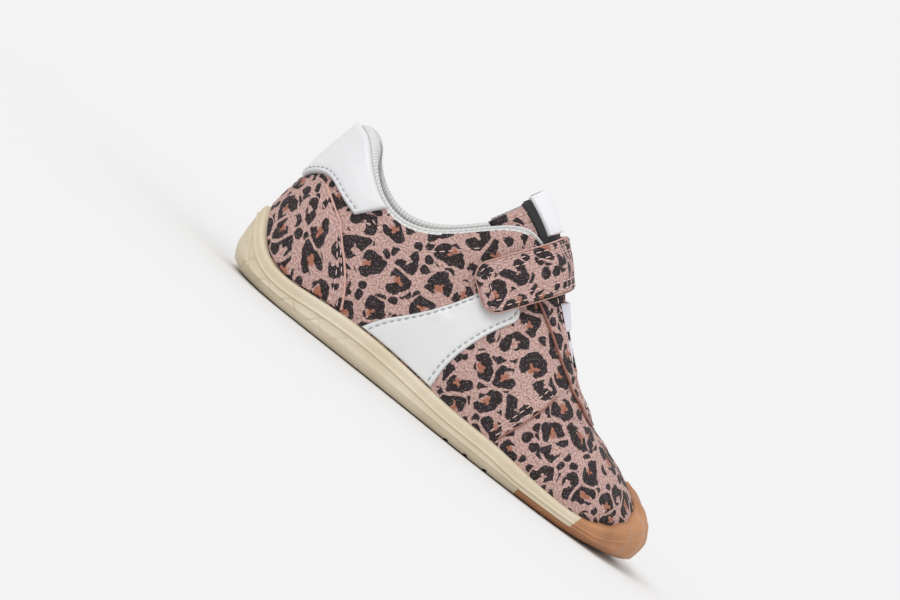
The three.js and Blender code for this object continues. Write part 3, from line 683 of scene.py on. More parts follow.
def sheet_shell(point_at, size, thickness, step=0.8, radius=0.5, seams=(), bulge=0.0, low=-0.2, cloth=None,
                back_look=0):
    """Closed sheet with rounded edges, pressed in along its seams. point_at takes shares and a height."""
    a, b = np.meshgrid(shares_with_edges(size[0], step, radius), shares_with_edges(size[1], step, radius),
                       indexing="ij")
    away = edge_distances(point_at(a, b, np.full(a.shape, thickness)))
    nearest = np.minimum.reduce(list(away.values()))
    left = np.clip(1 - nearest / radius, 0, 1)
    height = low + (thickness - low) * np.sqrt(1 - left**2)
    height += bulge * np.sqrt(np.clip(nearest / (0.5 * min(size)), 0, 1))
    for edges, inset in seams:
        gap = np.minimum.reduce([away[edge] for edge in edges])
        height -= SEAM_DEPTH * np.exp(-((gap - inset) / SEAM_WIDTH) ** 2) * (nearest > 0.5 * inset)
    front = point_at(a, b, height)
    back = point_at(a, b, np.full(a.shape, low))
    rows, columns = a.shape
    index = np.arange(a.size).reshape(a.shape)
    under = index + a.size
    for border in (np.s_[0, :], np.s_[-1, :], np.s_[:, 0], np.s_[:, -1]):
        under[border] = index[border]
    faces = grid_faces(rows, columns)
    flat = np.stack([away["l"], away["b"]], -1) if cloth is None else cloth(a, b)
    looks = [np.zeros(len(faces), int), np.full(len(faces), back_look)]
    points = np.concatenate([front.reshape(-1, 3), back.reshape(-1, 3)])
    flat = np.concatenate([flat.reshape(-1, 2)] * 2)
    return Shell(points, [faces[:, ::-1], under.ravel()[faces]], flat, looks)


STITCH_GAP = 0.7
STITCH_RINGS, STITCH_SIDES = 5, 6


def stitch_shell(paths, length=1.9, width=0.38, height=0.3):
    """Rows of thread stitches: small round-ended bodies along paths of points with normals."""
    rings, sides = STITCH_RINGS, STITCH_SIDES
    along = np.sin(np.linspace(-0.46, 0.46, rings) * math.pi)
    spread = np.sqrt(1 - along**2 * 0.97)
    turn = np.arange(sides) * 2 * math.pi / sides
    body = np.array([[x * length / 2, math.cos(t) * s * width / 2, math.sin(t) * s * height]
                     for x, s in zip(along, spread) for t in turn])
    quads = grid_faces(rings, sides, wrap_columns=True)[:, ::-1]
    caps = np.array([np.arange(sides), np.arange(sides)[::-1] + (rings - 1) * sides])
    points, faces, ends = [], [], []
    for line, normals in paths:
        walked = walk(line)
        count = int(walked[-1] / (length + STITCH_GAP))
        if count < 1:
            continue
        places = (np.arange(count) + 0.5) * walked[-1] / count

        def at(table, where):
            return np.stack([np.interp(where, walked, table[:, k]) for k in range(3)], -1)

        centre = at(line, places)
        forward = unit(at(line, places + length / 2) - at(line, places - length / 2))
        up = unit(at(normals, places))
        side = unit(np.cross(up, forward))
        up = np.cross(forward, side)
        for k in range(count):
            start = len(points) * len(body)
            points.append(centre[k] + body @ np.stack([forward[k], side[k], up[k]]))
            faces.append(quads + start)
            ends.append(caps + start)
    return Shell(np.vstack(points), [np.vstack(faces), np.vstack(ends)])


def seam_paths(point_at, size, edge, inset, height, ends=None, samples=160):
    """Line at an inset from one edge of a sheet, with its normals."""
    across = edge in "lr"
    margin = (inset if ends is None else ends) / size[1 if across else 0]
    run = np.linspace(margin, 1 - margin, samples)
    level = np.full(samples, height)

    def over(place, level):
        share = place if edge in "lb" else 1 - place
        return point_at(share, run, level) if across else point_at(run, share, level)

    place = np.full(samples, inset / size[0 if across else 1])
    onward = -NUDGE if edge in "rt" else NUDGE
    for _ in range(2):
        wide = np.linalg.norm(over(place + onward, level) - over(place, level), axis=-1) / NUDGE
        place = inset / wide
    line = over(place, level)
    return line, unit(over(place, level + NORMAL_STEP) - line)


def line_over(point_at, a, b, height, count):
    """Evenly spaced line over a sheet through shares along and across it, with its normals."""
    line, above = (respace(point_at(a, b, np.full(a.shape, level)), count)
                   for level in (height, height + NORMAL_STEP))
    return line, unit(above - line)


def border_of(rows, columns):
    """Numbers of the points round a grid, as one loop."""
    index = np.arange(rows * columns).reshape(rows, columns)
    return np.concatenate([index[0, :-1], index[:-1, -1], index[-1, :0:-1], index[:0:-1, 0]])


def skirt(low, high):
    """Faces between a lower and an upper loop of points."""
    return np.stack([np.roll(low, -1), low, high, np.roll(high, -1)], -1)


# Materials
def new_material(name):
    material = bpy.data.materials.new(name)
    material.use_nodes = True
    tree = material.node_tree
    tree.nodes.clear()
    output = tree.nodes.new("ShaderNodeOutputMaterial")
    shader = tree.nodes.new("ShaderNodeBsdfPrincipled")
    tree.links.new(shader.outputs[0], output.inputs[0])
    return material, Nodes(tree), shader


def darker(tint, share):
    return tuple(share * value for value in tint[:3]) + (1,)


def colour(red, green, blue):
    """Linear colour from the 0 to 255 values that a screen shows."""
    def linear(value):
        value /= 255
        return value / 12.92 if value <= 0.04045 else ((value + 0.055) / 1.055) ** 2.4
    return (linear(red), linear(green), linear(blue), 1)


class Nodes:
    """Short calls for the nodes that the materials share."""

    def __init__(self, tree):
        self.tree = tree

    def add(self, kind, **values):
        node = self.tree.nodes.new("ShaderNode" + kind)
        for name, value in values.items():
            setattr(node, name, value)
        return node

    def link(self, source, target):
        self.tree.links.new(source, target)

    def put(self, value, socket):
        if isinstance(value, bpy.types.NodeSocket):
            self.link(value, socket)
        else:
            socket.default_value = value

    def math(self, operation, a, b=0.0):
        node = self.add("Math", operation=operation)
        self.put(a, node.inputs[0])
        self.put(b, node.inputs[1])
        return node.outputs[0]

    def plus(self, a, b):
        return self.math("ADD", a, b)

    def minus(self, a, b):
        return self.math("SUBTRACT", a, b)

    def times(self, a, b):
        return self.math("MULTIPLY", a, b)

    def step(self, value, low, high):
        """0 below low and 1 above high, smooth between."""
        node = self.add("MapRange", interpolation_type="SMOOTHSTEP", clamp=True)
        self.put(value, node.inputs["Value"])
        self.put(low, node.inputs["From Min"])
        self.put(high, node.inputs["From Max"])
        return node.outputs["Result"]

    def mix(self, share, a, b):
        node = self.add("Mix", data_type="RGBA")
        self.put(share, node.inputs["Factor"])
        self.put(a, node.inputs[6])
        self.put(b, node.inputs[7])
        return node.outputs[2]

    def below(self, value, limit, soft):
        """1 below a limit and 0 above it, with a soft edge."""
        return self.minus(1.0, self.step(self.minus(value, limit), -soft, soft))

    def split(self, value):
        node = self.add("SeparateColor")
        self.link(value, node.inputs[0])
        return node.outputs

    def scaled_add(self, vector, scale, added):
        node = self.add("VectorMath", operation="MULTIPLY_ADD")
        self.link(vector, node.inputs[0])
        node.inputs[1].default_value = scale
        self.link(added, node.inputs[2])
        return node.outputs[0]

    def noise(self, vector, scale, detail=2.0, roughness=0.5):
        node = self.add("TexNoise")
        self.put(vector, node.inputs["Vector"])
        node.inputs["Scale"].default_value = scale
        node.inputs["Detail"].default_value = detail
        node.inputs["Roughness"].default_value = roughness
        return node

    def voronoi(self, vector, scale, feature="F1", randomness=1.0, dimensions="2D"):
        node = self.add("TexVoronoi", feature=feature, voronoi_dimensions=dimensions)
        self.put(vector, node.inputs["Vector"])
        node.inputs["Scale"].default_value = scale
        node.inputs["Randomness"].default_value = randomness
        return node

    def cloth(self, shift=(0, 0)):
        """The flat coordinates of the cloth in millimetres."""
        source = self.add("Attribute", attribute_name="cloth").outputs["Vector"]
        moved = self.add("VectorMath", operation="ADD")
        self.link(source, moved.inputs[0])
        moved.inputs[1].default_value = (*shift, 0)
        return moved.outputs[0]

    def place(self):
        """Place on the shoe in millimetres."""
        scaled = self.add("VectorMath", operation="SCALE")
        self.link(self.add("TexCoord").outputs["Object"], scaled.inputs[0])
        scaled.inputs["Scale"].default_value = 1 / MM
        return scaled.outputs[0]

    def bump(self, height, strength, distance):
        node = self.add("Bump")
        node.inputs["Strength"].default_value = strength
        node.inputs["Distance"].default_value = distance
        self.link(height, node.inputs["Height"])
        return node.outputs[0]


PINK = colour(203, 173, 166)
DEEP_PINK = colour(140, 103, 95)
RUST = colour(148, 88, 60)
NIGHT = colour(24, 18, 22)
SILVER = colour(190, 180, 188)
# Sizes of the print in millimetres
ROSETTE_PITCH = 9.4
RING_RADIUS, RING_SPREAD = 2.6, 0.8
RING_HALF = 1.62
LOBE = 0.5
OPENING = 1.5
ROUGHNESS = 1.6
APART = 0.45
SPOT_PITCH, SPOT_RADIUS = 4.6, 1.5
CENTRE_RADIUS = 1.5
INKED_EDGE = 0.16
WARP = 5
BETWEEN = (2.3, 2.6)
FLECK_RADIUS = 0.3
# Scales of the print's noises for each millimetre, and how far the cells' places vary
WARP_SCALE, RAGGED_SCALE, GRAIN_SCALE, WEAVE_SCALE, FLECK_SCALE = 0.09, 0.33, 1.6, 3.0, 2.5
JITTER = 0.7
# Shares of the dark colour, the rust and the silver where each is at its strongest
NIGHT_SHARE, RUST_SHARE, GLINT = 0.97, 0.85, 0.4


def leopard(name, shift=(0, 0)):
    """Glittering leopard print: broken dark rings round rust centres, with small spots between them."""
    material, nodes, shader = new_material(name)
    flat = nodes.cloth(shift)
    warp = nodes.noise(flat, WARP_SCALE, 1)
    moved = nodes.scaled_add(warp.outputs["Color"], (WARP, WARP, 0), flat)
    cells = nodes.voronoi(moved, 1 / ROSETTE_PITCH, randomness=JITTER)
    random = nodes.split(cells.outputs["Color"])
    away = nodes.times(cells.outputs["Distance"], ROSETTE_PITCH)
    arm = nodes.add("VectorMath", operation="SUBTRACT")
    nodes.link(moved, arm.inputs[0])
    nodes.link(cells.outputs["Position"], arm.inputs[1])
    sides = nodes.add("SeparateXYZ")
    nodes.link(arm.outputs[0], sides.inputs[0])
    turn = nodes.math("ARCTAN2", sides.outputs[1], sides.outputs[0])
    start = nodes.times(random[0], 2 * math.pi)
    facing = nodes.math("COSINE", nodes.minus(turn, start))
    lobed = nodes.plus(nodes.times(turn, 3.0), nodes.times(start, 5.0))
    lobes = nodes.math("COSINE", lobed)
    ragged = nodes.noise(flat, RAGGED_SCALE, 2, 0.55)
    rough = nodes.times(nodes.plus(ragged.outputs["Fac"], -0.5), 2 * ROUGHNESS)
    radius = nodes.plus(nodes.times(random[1], RING_SPREAD), RING_RADIUS - RING_SPREAD / 2)
    half = nodes.plus(nodes.times(lobes, LOBE), RING_HALF)
    opened = nodes.times(nodes.step(facing, 0.5, 0.9), OPENING)
    half = nodes.minus(half, opened)
    reach = nodes.plus(away, rough)
    from_ring = nodes.math("ABSOLUTE", nodes.minus(reach, radius))
    on_ring = nodes.below(nodes.minus(from_ring, half), 0.0, INKED_EDGE)
    border = nodes.voronoi(moved, 1 / ROSETTE_PITCH, "DISTANCE_TO_EDGE", JITTER).outputs["Distance"]
    border = nodes.times(border, ROSETTE_PITCH)
    kept = nodes.step(nodes.plus(border, nodes.times(rough, 0.3)), APART - 0.15, APART + 0.15)
    ring = nodes.times(on_ring, kept)
    small = nodes.voronoi(moved, 1 / SPOT_PITCH, randomness=0.9).outputs["Distance"]
    small = nodes.times(small, SPOT_PITCH)
    spot = nodes.below(nodes.plus(small, nodes.times(rough, 0.5)), SPOT_RADIUS, INKED_EDGE)
    between = nodes.step(nodes.minus(away, radius), *BETWEEN)
    dark = nodes.math("MAXIMUM", ring, nodes.times(spot, between))
    rusted = nodes.times(nodes.below(reach, CENTRE_RADIUS, 0.5), nodes.step(random[2], 0.3, 0.4))
    grain = nodes.noise(flat, GRAIN_SCALE, 4, 0.8)
    mottled = nodes.mix(nodes.step(grain.outputs["Fac"], 0.38, 0.62), DEEP_PINK, PINK)
    ground = nodes.mix(nodes.times(rusted, RUST_SHARE), mottled, RUST)
    printed = nodes.mix(nodes.times(dark, NIGHT_SHARE), ground, NIGHT)
    sparkle = nodes.voronoi(flat, FLECK_SCALE)
    lit = nodes.split(sparkle.outputs["Color"])
    fleck = nodes.below(sparkle.outputs["Distance"], FLECK_RADIUS, 0.08)
    glint = nodes.times(fleck, nodes.step(lit[0], 0.72, 0.95))
    nodes.link(nodes.mix(nodes.times(glint, GLINT), printed, SILVER), shader.inputs["Base Color"])
    weave = nodes.noise(flat, WEAVE_SCALE, 3, 0.7)
    height = nodes.plus(weave.outputs["Fac"], nodes.times(glint, GLINT))
    nodes.link(nodes.bump(height, 0.7, 0.0002), shader.inputs["Normal"])
    nodes.link(nodes.plus(nodes.times(glint, -GLINT), 0.85), shader.inputs["Roughness"])
    shader.inputs["Specular IOR Level"].default_value = 0.3
    shader.inputs["Sheen Weight"].default_value = 0.03
    shader.inputs["Sheen Roughness"].default_value = 0.4
    return material


def leather(name, tint, rough=0.42, grain_scale=1.1, strength=0.28):
    """Smooth coated leather with a fine pebble grain."""
    material, nodes, shader = new_material(name)
    place = nodes.place()
    pebbles = nodes.voronoi(place, grain_scale, "DISTANCE_TO_EDGE", 1.0, "3D").outputs["Distance"]
    soft = nodes.noise(place, 0.12, 2)
    tone = nodes.mix(soft.outputs["Fac"], tint, darker(tint, 0.93))
    nodes.link(tone, shader.inputs["Base Color"])
    nodes.link(nodes.bump(nodes.step(pebbles, 0.0, 0.35), strength, 0.00005), shader.inputs["Normal"])
    shader.inputs["Roughness"].default_value = rough
    shader.inputs["Coat Weight"].default_value = 0.15
    shader.inputs["Coat Roughness"].default_value = 0.35
    return material


def rubber(name, tint, shade, rough=0.6):
    """Moulded rubber with a cloudy tone and a fine matt skin."""
    material, nodes, shader = new_material(name)
    place = nodes.place()
    cloud = nodes.noise(place, 0.07, 3)
    clouded = nodes.mix(nodes.step(cloud.outputs["Fac"], 0.3, 0.7), tint, shade)
    nodes.link(clouded, shader.inputs["Base Color"])
    skin = nodes.noise(place, 3.0, 3)
    nodes.link(nodes.bump(skin.outputs["Fac"], 0.2, 0.00006), shader.inputs["Normal"])
    dull = nodes.plus(nodes.times(skin.outputs["Fac"], 0.12), rough - 0.06)
    nodes.link(dull, shader.inputs["Roughness"])
    shader.inputs["Subsurface Weight"].default_value = 0.08
    shader.inputs["Subsurface Radius"].default_value = (0.002, 0.0014, 0.0008)
    shader.inputs["Subsurface Scale"].default_value = 1.0
    return material


def ribbed(name, tint, pitch, across=0, rough=0.8, strength=0.6):
    """Textile with raised ribs, such as elastic tape or lining, with painted shade in the troughs between the
    ribs.
    """
    material, nodes, shader = new_material(name)
    flat = nodes.cloth()
    parts = nodes.add("SeparateXYZ")
    nodes.link(flat, parts.inputs[0])
    wave = nodes.math("SINE", nodes.times(parts.outputs[across], 2 * math.pi / pitch))
    fine = nodes.math("SINE", nodes.times(parts.outputs[1 - across], 2 * math.pi / (0.7 * pitch)))
    height = nodes.plus(wave, nodes.times(fine, 0.3))
    nodes.link(nodes.bump(height, strength, 0.0002), shader.inputs["Normal"])
    # Painted shade: the troughs between the ribs are coloured darker than the ribs' tops
    rib_painted_shade = nodes.mix(nodes.step(height, -1.2, 0.6), darker(tint, 0.82), tint)
    nodes.link(rib_painted_shade, shader.inputs["Base Color"])
    shader.inputs["Roughness"].default_value = rough
    shader.inputs["Sheen Weight"].default_value = 0.15
    return material


def thread(name, tint):
    material, nodes, shader = new_material(name)
    twist = nodes.noise(nodes.place(), 2.2, 2)
    nodes.link(nodes.mix(twist.outputs["Fac"], darker(tint, 0.8), tint), shader.inputs["Base Color"])
    shader.inputs["Roughness"].default_value = 0.55
    return material


CLOTH = leopard("leopard_cloth")
COUNTER_CLOTH = leopard("leopard_counter", (31, 17))
STRAP_CLOTH = leopard("leopard_strap", (52, 6))
EYESTAY_CLOTH = leopard("leopard_eyestay", (11, 43))
TONGUE_CLOTH = leopard("leopard_tongue", (71, 29))
WHITE_LEATHER = leather("white_leather", colour(209, 210, 210))
TAB_LEATHER = leather("tab_leather", colour(213, 213, 215), 0.38, 0.9, 0.18)
CREAM = rubber("cream_rubber", colour(205, 193, 172), colour(195, 181, 156))
GUM = rubber("gum_rubber", colour(176, 124, 84), colour(156, 106, 70), 0.5)
LINING = ribbed("white_lining", colour(212, 212, 211), 1.5)
ELASTIC_TAPE = ribbed("white_elastic", colour(228, 226, 236), 0.9)
LABEL_TAPE = ribbed("white_label", colour(228, 227, 232), 0.5, strength=0.2)
BLACK_TAPE = ribbed("black_binding", colour(24, 23, 26), 0.6, rough=0.7, strength=0.3)
FOAM = ribbed("insole_cloth", colour(234, 232, 228), 1.0, strength=0.3)
# Folded edges of the eyestay and the quarters: their own pink-brown, darkened as painted shadow along the
# raised edge
FOLD_EDGE_AND_SHADE = leather("fold_edge_and_painted_shade", colour(140, 92, 80), 0.6, 1.6)
PINK_EDGE = leather("pink_edge", colour(196, 154, 142), 0.7, 1.4)
GREY_THREAD = thread("grey_thread", colour(160, 164, 168))
PINK_THREAD = thread("pale_thread", colour(222, 190, 184))


# Upper and lining, with white cloth turned out over the collar's edge down to PIPING
PIPING, PIPING_END = 0.9, 0.3


def upper_piece():
    around, up, roll, inside = 560, 110, 14, 50
    u = np.arange(around) / around
    v = np.linspace(0, 1, up + 1)
    outer = skin_offset(u[None, :], v[:, None], 0)
    wall = wall_at(u, np.ones(around))
    shares = np.arange(1, roll + 1) / (roll + 1)
    rolled = skin_offset(u[None, :], np.ones((roll, 1)), -wall[None, :] * shares[:, None])
    rolled[..., 2] += np.sin(math.pi * shares)[:, None] * COLLAR_ROLL * wall / (UPPER_WALL + COLLAR_PAD)
    low = np.linspace(1, 0, inside + 1)
    inner = upper_offset(u[None, :], low[:, None], -wall_at(u[None, :], low[:, None]))
    points = np.concatenate([outer, rolled, inner])
    cut = flat_cut(u[None, :], v[:, None])
    lined = np.zeros(points.shape[:2] + (2,))
    lined[:up + 1] = cut
    lined[up:, :, 1] = walk(points[up:])
    lined[up:, :, 0] = u * 2 * (LAST_LENGTH + HALF_BALL)
    faces = grid_faces(len(points), around, wrap_rows=True, wrap_columns=True)
    cloth_faces = np.arange(len(faces)) // around < up
    bound = (below_top(u[None, :], v[1:, None]) < PIPING) & (np.minimum(u, 1 - u) < PIPING_END)[None, :]
    looks = np.where(cloth_faces, 0, 1)
    looks[cloth_faces] = bound.ravel()
    return make_piece("upper_shell", [Shell(points, [faces], lined, [looks])], [CLOTH, LINING],
                      ["upper"])


upper_piece()


# Sole: control points of its section at each place round it, then a smooth line through them
BAND_SHARES = (0.3, 0.65)
RIM_WAVE = 0.35
SECTION_STEPS, BAND_STEPS = 2, 9
# Share of the way up to the bead where the side starts above the gum layer
RAISED_SHARE = 0.3


def side_point(u, height, distance):
    """Point level with a height on the side wall, moved out. Below the feather line it drops straight."""
    v = share_at_height(u, height)
    normal = upper_normal(u, v)
    normal[..., 2] = 0
    point = upper_point(u, v)
    point[..., 2] = np.minimum(point[..., 2], height)
    return point + unit(normal) * np.asarray(distance)[..., None]


def foot_point(u, distance, height):
    flat = foot_xy(u) + foot_normal(u) * np.asarray(distance)[..., None]
    return np.concatenate([flat, np.broadcast_to(height, flat.shape[:-1])[..., None]], -1)


def guard_share(u):
    return smooth_step(GUARD_LOW, GUARD_HIGH, foot_xy(u)[..., 0] / LAST_LENGTH)


def section(u, row, lip, low=0.0):
    """Point of one control row. With low above 0 the side starts straight from there, with no corner."""
    x = foot_xy(u)[..., 0]
    ground = spring_at(x)
    rim = rim_at(u) + RIM_WAVE * guard_share(u) * np.cos(2 * math.pi * SCALLOP_COUNT * u)
    bead = np.maximum(rim - BEAD_DROP, ground + LOW_BAND)
    heel = 1 - smooth_step(0, HEEL_LENGTH, x / LAST_LENGTH)
    kind, index = row
    raised = low > 0
    corner_up = CORNER_TABLE[-1][2] * CUP_FLOOR
    first_side = SIDE_TABLE[0][1] * BEAD
    start = np.where(raised, ground + low, ground + corner_up)
    if kind == "corner":
        out, turned, up = CORNER_TABLE[index]
        plain = foot_point(u, out * lip - turned * HEEL_ROUND * heel, ground + up * CUP_FLOOR)
        share = index / len(CORNER_TABLE)
        height = mix(start, bead, RAISED_SHARE * share)
        above = side_point(u, height, CLEARANCE + lip * (1 if index else -0.6))
        return np.where(np.asarray(raised)[..., None], above, plain)
    if kind == "band":
        height = mix(mix(start, bead, RAISED_SHARE * raised), bead + first_side, BAND_SHARES[index])
        return side_point(u, height, CLEARANCE + lip)
    if kind == "side":
        up, step, out = SIDE_TABLE[index]
        bead_height = BEAD * (1 - 0.6 * guard_share(u)) if up == 0 else BEAD
        return side_point(u, mix(bead, rim, up) + step * BEAD, CLEARANCE + lip + out * bead_height)
    inner = {"rim": rim, "low": np.minimum(rim - 3, ground + CUP_FLOOR + 2)}[kind]
    return side_point(u, inner, np.full(u.shape, -0.3 if kind == "rim" else -0.6))


SECTION_ROWS = [(kind, k) for kind, count in (("corner", len(CORNER_TABLE)), ("band", len(BAND_SHARES)),
                                              ("side", len(SIDE_TABLE)), ("rim", 1), ("low", 1))
                for k in range(count)]
BAND_ROWS = (len(CORNER_TABLE) - 1, len(CORNER_TABLE) + len(BAND_SHARES))


def smooth_rows(rows):
    """More rows along a smooth line through control rows."""
    padded = np.concatenate([2 * rows[:1] - rows[1:2], rows, 2 * rows[-1:] - rows[-2:-1]])
    made = []
    for k in range(len(rows) - 1):
        p0, p1, p2, p3 = padded[k:k + 4]
        count = BAND_STEPS if BAND_ROWS[0] <= k < BAND_ROWS[1] else SECTION_STEPS
        for t in np.arange(count) / count:
            made.append(0.5 * (2 * p1 + (p2 - p0) * t + (2 * p0 - 5 * p1 + 4 * p2 - p3) * t**2
                               + (3 * p1 - p0 - 3 * p2 + p3) * t**3))
    made.append(rows[-1])
    return np.array(made)


TOE_SLOPE = np.array([1, GUARD_SKEW * LAST_LENGTH / (2 * BALL_WIDTH), -GUARD_LEAN / RIM_HEIGHT])
TOE_PLACE = (GUARD_START - GUARD_SKEW / 2) * LAST_LENGTH


def on_side(near, far, inner, before):
    """Place round the foot on one side, between two shares, up to which before holds."""
    ends = (1 - near, 1 - far) if inner else (near, far)
    return bisect(*(np.array([end]) for end in ends), before, 20)[0]


def toe_end(row, lip_of, inner, low):
    """Place round the sole where a row meets the slanted plane between cream and gum."""
    def before(u):
        return section(u, row, lip_of(u), np.array([low])) @ TOE_SLOPE < TOE_PLACE
    return on_side(0.3, 0.48, inner, before)


def place_at_x(x, inner):
    return on_side(0.25, 0.48, inner, lambda u: foot_xy(u)[..., 0] < x)


def cream_lip(u):
    return np.full(np.shape(u), LIP)


def gum_lip(u):
    share = guard_share(u)
    wave = np.cos(2 * math.pi * SCALLOP_COUNT * u)
    return mix(LIP, GUARD_THICKNESS, share) + (0.15 + 0.3 * share) * wave


DIAMOND_PITCH, DIAMOND_DEPTH, DIAMOND_LINE = 10.0, 0.3, 0.42
DIAMOND_FADE = (34, 60)
NOTCH_HEIGHT, NOTCH_DEPTH = 1.3, 0.45


def diamonds(points, walked, rise):
    """Depth of the criss-cross lines pressed into the lower band, fading out ahead of the heel."""
    total = np.zeros(points.shape[:-1])
    for way in (-1, 1):
        phase = (walked + way * rise) / DIAMOND_PITCH
        away = np.abs(phase - np.round(phase)) * DIAMOND_PITCH
        total = np.maximum(total, np.exp(-(away / DIAMOND_LINE) ** 2))
    return total * (1 - smooth_step(*DIAMOND_FADE, points[..., 0])) * DIAMOND_DEPTH


def flex_notches(points):
    """Height of the notches where the flex grooves run out under the side, as in the solid."""
    total = np.zeros(points.shape[:-1])
    for k in range(3):
        middle = FLEX_START * LAST_LENGTH + k * GROOVE_PITCH + GROOVE_WIDTH / 2
        away = np.abs(points[..., 0] - middle)
        total += 1 - smooth_step(0.35 * GROOVE_WIDTH, 0.65 * GROOVE_WIDTH, away)
    return total * (1 - smooth_step(0.1, NOTCH_HEIGHT, points[..., 2])) * NOTCH_DEPTH


def wall_shell(lip_of, starts, ends, low, columns, emboss=False):
    """Wall between two places for each row, as a closed tube with flat ends."""
    share = np.linspace(0, 1, columns)
    low = np.full(columns, low)
    rows = []
    for n, row in enumerate(SECTION_ROWS):
        u = mix(starts[n], ends[n], share)
        rows.append(section(u, row, lip_of(u), low))
    points = smooth_rows(np.array(rows))
    if emboss:
        around = np.gradient(points, axis=1)
        up = np.gradient(points, axis=0)
        out = unit(np.cross(around, up))
        first = SECTION_STEPS * BAND_ROWS[0]
        walked = walk(points[first + 2])
        walked -= walked[-1] / 2
        last = first + BAND_STEPS * (BAND_ROWS[1] - BAND_ROWS[0])
        level = np.zeros(len(points))
        level[first - 1:last + 1] = 1
        points -= out * (diamonds(points, walked[None, :], points[..., 2]) * level[:, None])[..., None]
        points[..., 2] += flex_notches(points)
    faces = grid_faces(len(points), columns, wrap_rows=True)
    index = np.arange(len(points)) * columns
    caps = [index[None, :], (index + columns - 1)[None, ::-1]]
    return Shell(points, [faces, *caps])


def pad_shell(starts, ends, columns):
    """Edge of the gum layer that shows under the cream, from the ground up to the layer's top."""
    share = np.linspace(0, 1, columns)
    rows = []
    for n in range(len(CORNER_TABLE)):
        u = mix(starts[n], ends[n], share)
        rows.append(section(u, ("corner", n), gum_lip(u)))
    lid = rows[-1].copy()
    lid[..., 2] = PAD_THICKNESS + spring_at(lid[..., 0])
    inner = section(u, ("corner", 0), gum_lip(u))
    inner[..., 2] = lid[..., 2]
    points = np.array(rows[:-1] + [lid, inner])
    faces = grid_faces(len(points), columns, wrap_rows=True)
    index = np.arange(len(points)) * columns
    return Shell(points, [faces, index[None, :], (index + columns - 1)[None, ::-1]])


LUG_PITCH, LUG_DEPTH = 8.0, 0.55


def tread_depth(points, gum):
    """Grooves under the sole: straight flex grooves and a fine criss-cross of low lugs."""
    x, y = points[..., 0], points[..., 1]
    first = (PAD_GROOVE_START if gum else FLEX_START) * LAST_LENGTH
    depth = np.zeros(x.shape)
    for k in range(3):
        middle = first + k * GROOVE_PITCH + GROOVE_WIDTH / 2
        depth = np.maximum(depth, GROOVE_DEPTH * (np.abs(x - middle) < GROOVE_WIDTH / 2))
    for way in (-1, 1):
        phase = (x + way * y) / LUG_PITCH
        away = np.abs(phase - np.round(phase)) * LUG_PITCH
        depth = np.maximum(depth, LUG_DEPTH * (1 - smooth_step(0.3, 0.7, away)))
    return depth


def bottom_shell(start, end, lip_of, steps, across, gum, top):
    """Underside from one place to another, level across, with its grooves, closed above."""
    outer = np.linspace(start, end, steps)
    left = section(outer, ("corner", 0), lip_of(outer))
    right = section(1 - outer, ("corner", 0), lip_of(1 - outer))
    share = np.linspace(0, 1, across)[None, :, None]
    points = left[:, None] * (1 - share) + right[:, None] * share
    inside = np.minimum(share[..., 0], 1 - share[..., 0]) * np.linalg.norm(right - left, axis=-1)[:, None]
    depth = tread_depth(points, gum) * smooth_step(0.8, 2.0, inside)
    points[..., 2] += depth if gum else np.maximum(depth, flex_notches(points))
    border = border_of(steps, across)
    points = points.reshape(-1, 3)
    lid = points[border]
    lid[:, 2] = top
    above = len(points) + np.arange(len(border))
    return Shell(np.concatenate([points, lid]),
                 [grid_faces(steps, across), skirt(border, above), above[None, ::-1]])


def sole_pieces():
    count = len(SECTION_ROWS)
    pad_outer, pad_inner = (place_at_x(PAD_START * LAST_LENGTH, inner) for inner in (False, True))

    def toe_ends(lip_of, low):
        return [[toe_end(row, lip_of, inner, low) for row in SECTION_ROWS] for inner in (False, True)]

    outer_ends, inner_ends = toe_ends(cream_lip, PAD_THICKNESS)
    heel = wall_shell(cream_lip, [pad_inner - 1] * count, [pad_outer] * count, 0.0, 720, True)
    outer = wall_shell(cream_lip, [pad_outer] * count, outer_ends, PAD_THICKNESS, 70)
    inner = wall_shell(cream_lip, inner_ends, [pad_inner] * count, PAD_THICKNESS, 90)
    base = bottom_shell(0.004, pad_outer, cream_lip, 260, 130, False, CUP_FLOOR)
    make_piece("cup_sole", [heel, outer, inner, base], [CREAM], ["sole"])

    outer_ends, inner_ends = toe_ends(gum_lip, 0.0)
    guard = wall_shell(gum_lip, outer_ends, inner_ends, 0.0, 420)
    base = bottom_shell(pad_outer, 0.498, gum_lip, 130, 130, True, PAD_THICKNESS)
    rims = [pad_shell([pad_outer] * count, outer_ends, 70), pad_shell(inner_ends, [pad_inner] * count, 90)]
    make_piece("gum_guard", [guard, base, *rims], [GUM], ["toe_guard"])


sole_pieces()

INSOLE_ROUND = 1.2
INSOLE_RISE, INSOLE_RISE_WIDTH = 0.8, 12


def insole_piece():
    """Insole with a rounded edge that rises a little toward the wall."""
    inset = UPPER_WALL + 2 * CLEARANCE
    steps, across = 160, 70
    outer = np.linspace(0.003, 0.497, steps)

    def edge(u):
        x = foot_xy(u)[..., 0]
        return foot_point(u, np.full(u.shape, -inset), CUP_FLOOR + CLEARANCE + spring_at(x))

    left, right = edge(outer), edge(1 - outer)
    share = np.linspace(0, 1, across)[None, :, None]
    low = left[:, None] * (1 - share) + right[:, None] * share
    top = low.copy()
    width = np.linalg.norm(right - left, axis=-1)[:, None]
    inside = np.minimum(share[..., 0], 1 - share[..., 0]) * width
    top[..., 2] += INSOLE * np.sqrt(np.clip(inside / INSOLE_ROUND, 0, 1))
    top[..., 2] += INSOLE_RISE * (1 - smooth_step(0, INSOLE_RISE_WIDTH, inside))
    faces, border = grid_faces(steps, across), border_of(steps, across)
    count = steps * across
    points = np.concatenate([low.reshape(-1, 3), top.reshape(-1, 3)])
    shell = Shell(points, [faces, faces[:, ::-1] + count, skirt(border, border + count)], points[:, :2])
    insole = make_piece("foam_insole", [shell], [FOAM], ["insole"])


insole_piece()


# Rows of stitches on the upper itself, and how high their thread lies
ON_UPPER = 0.12


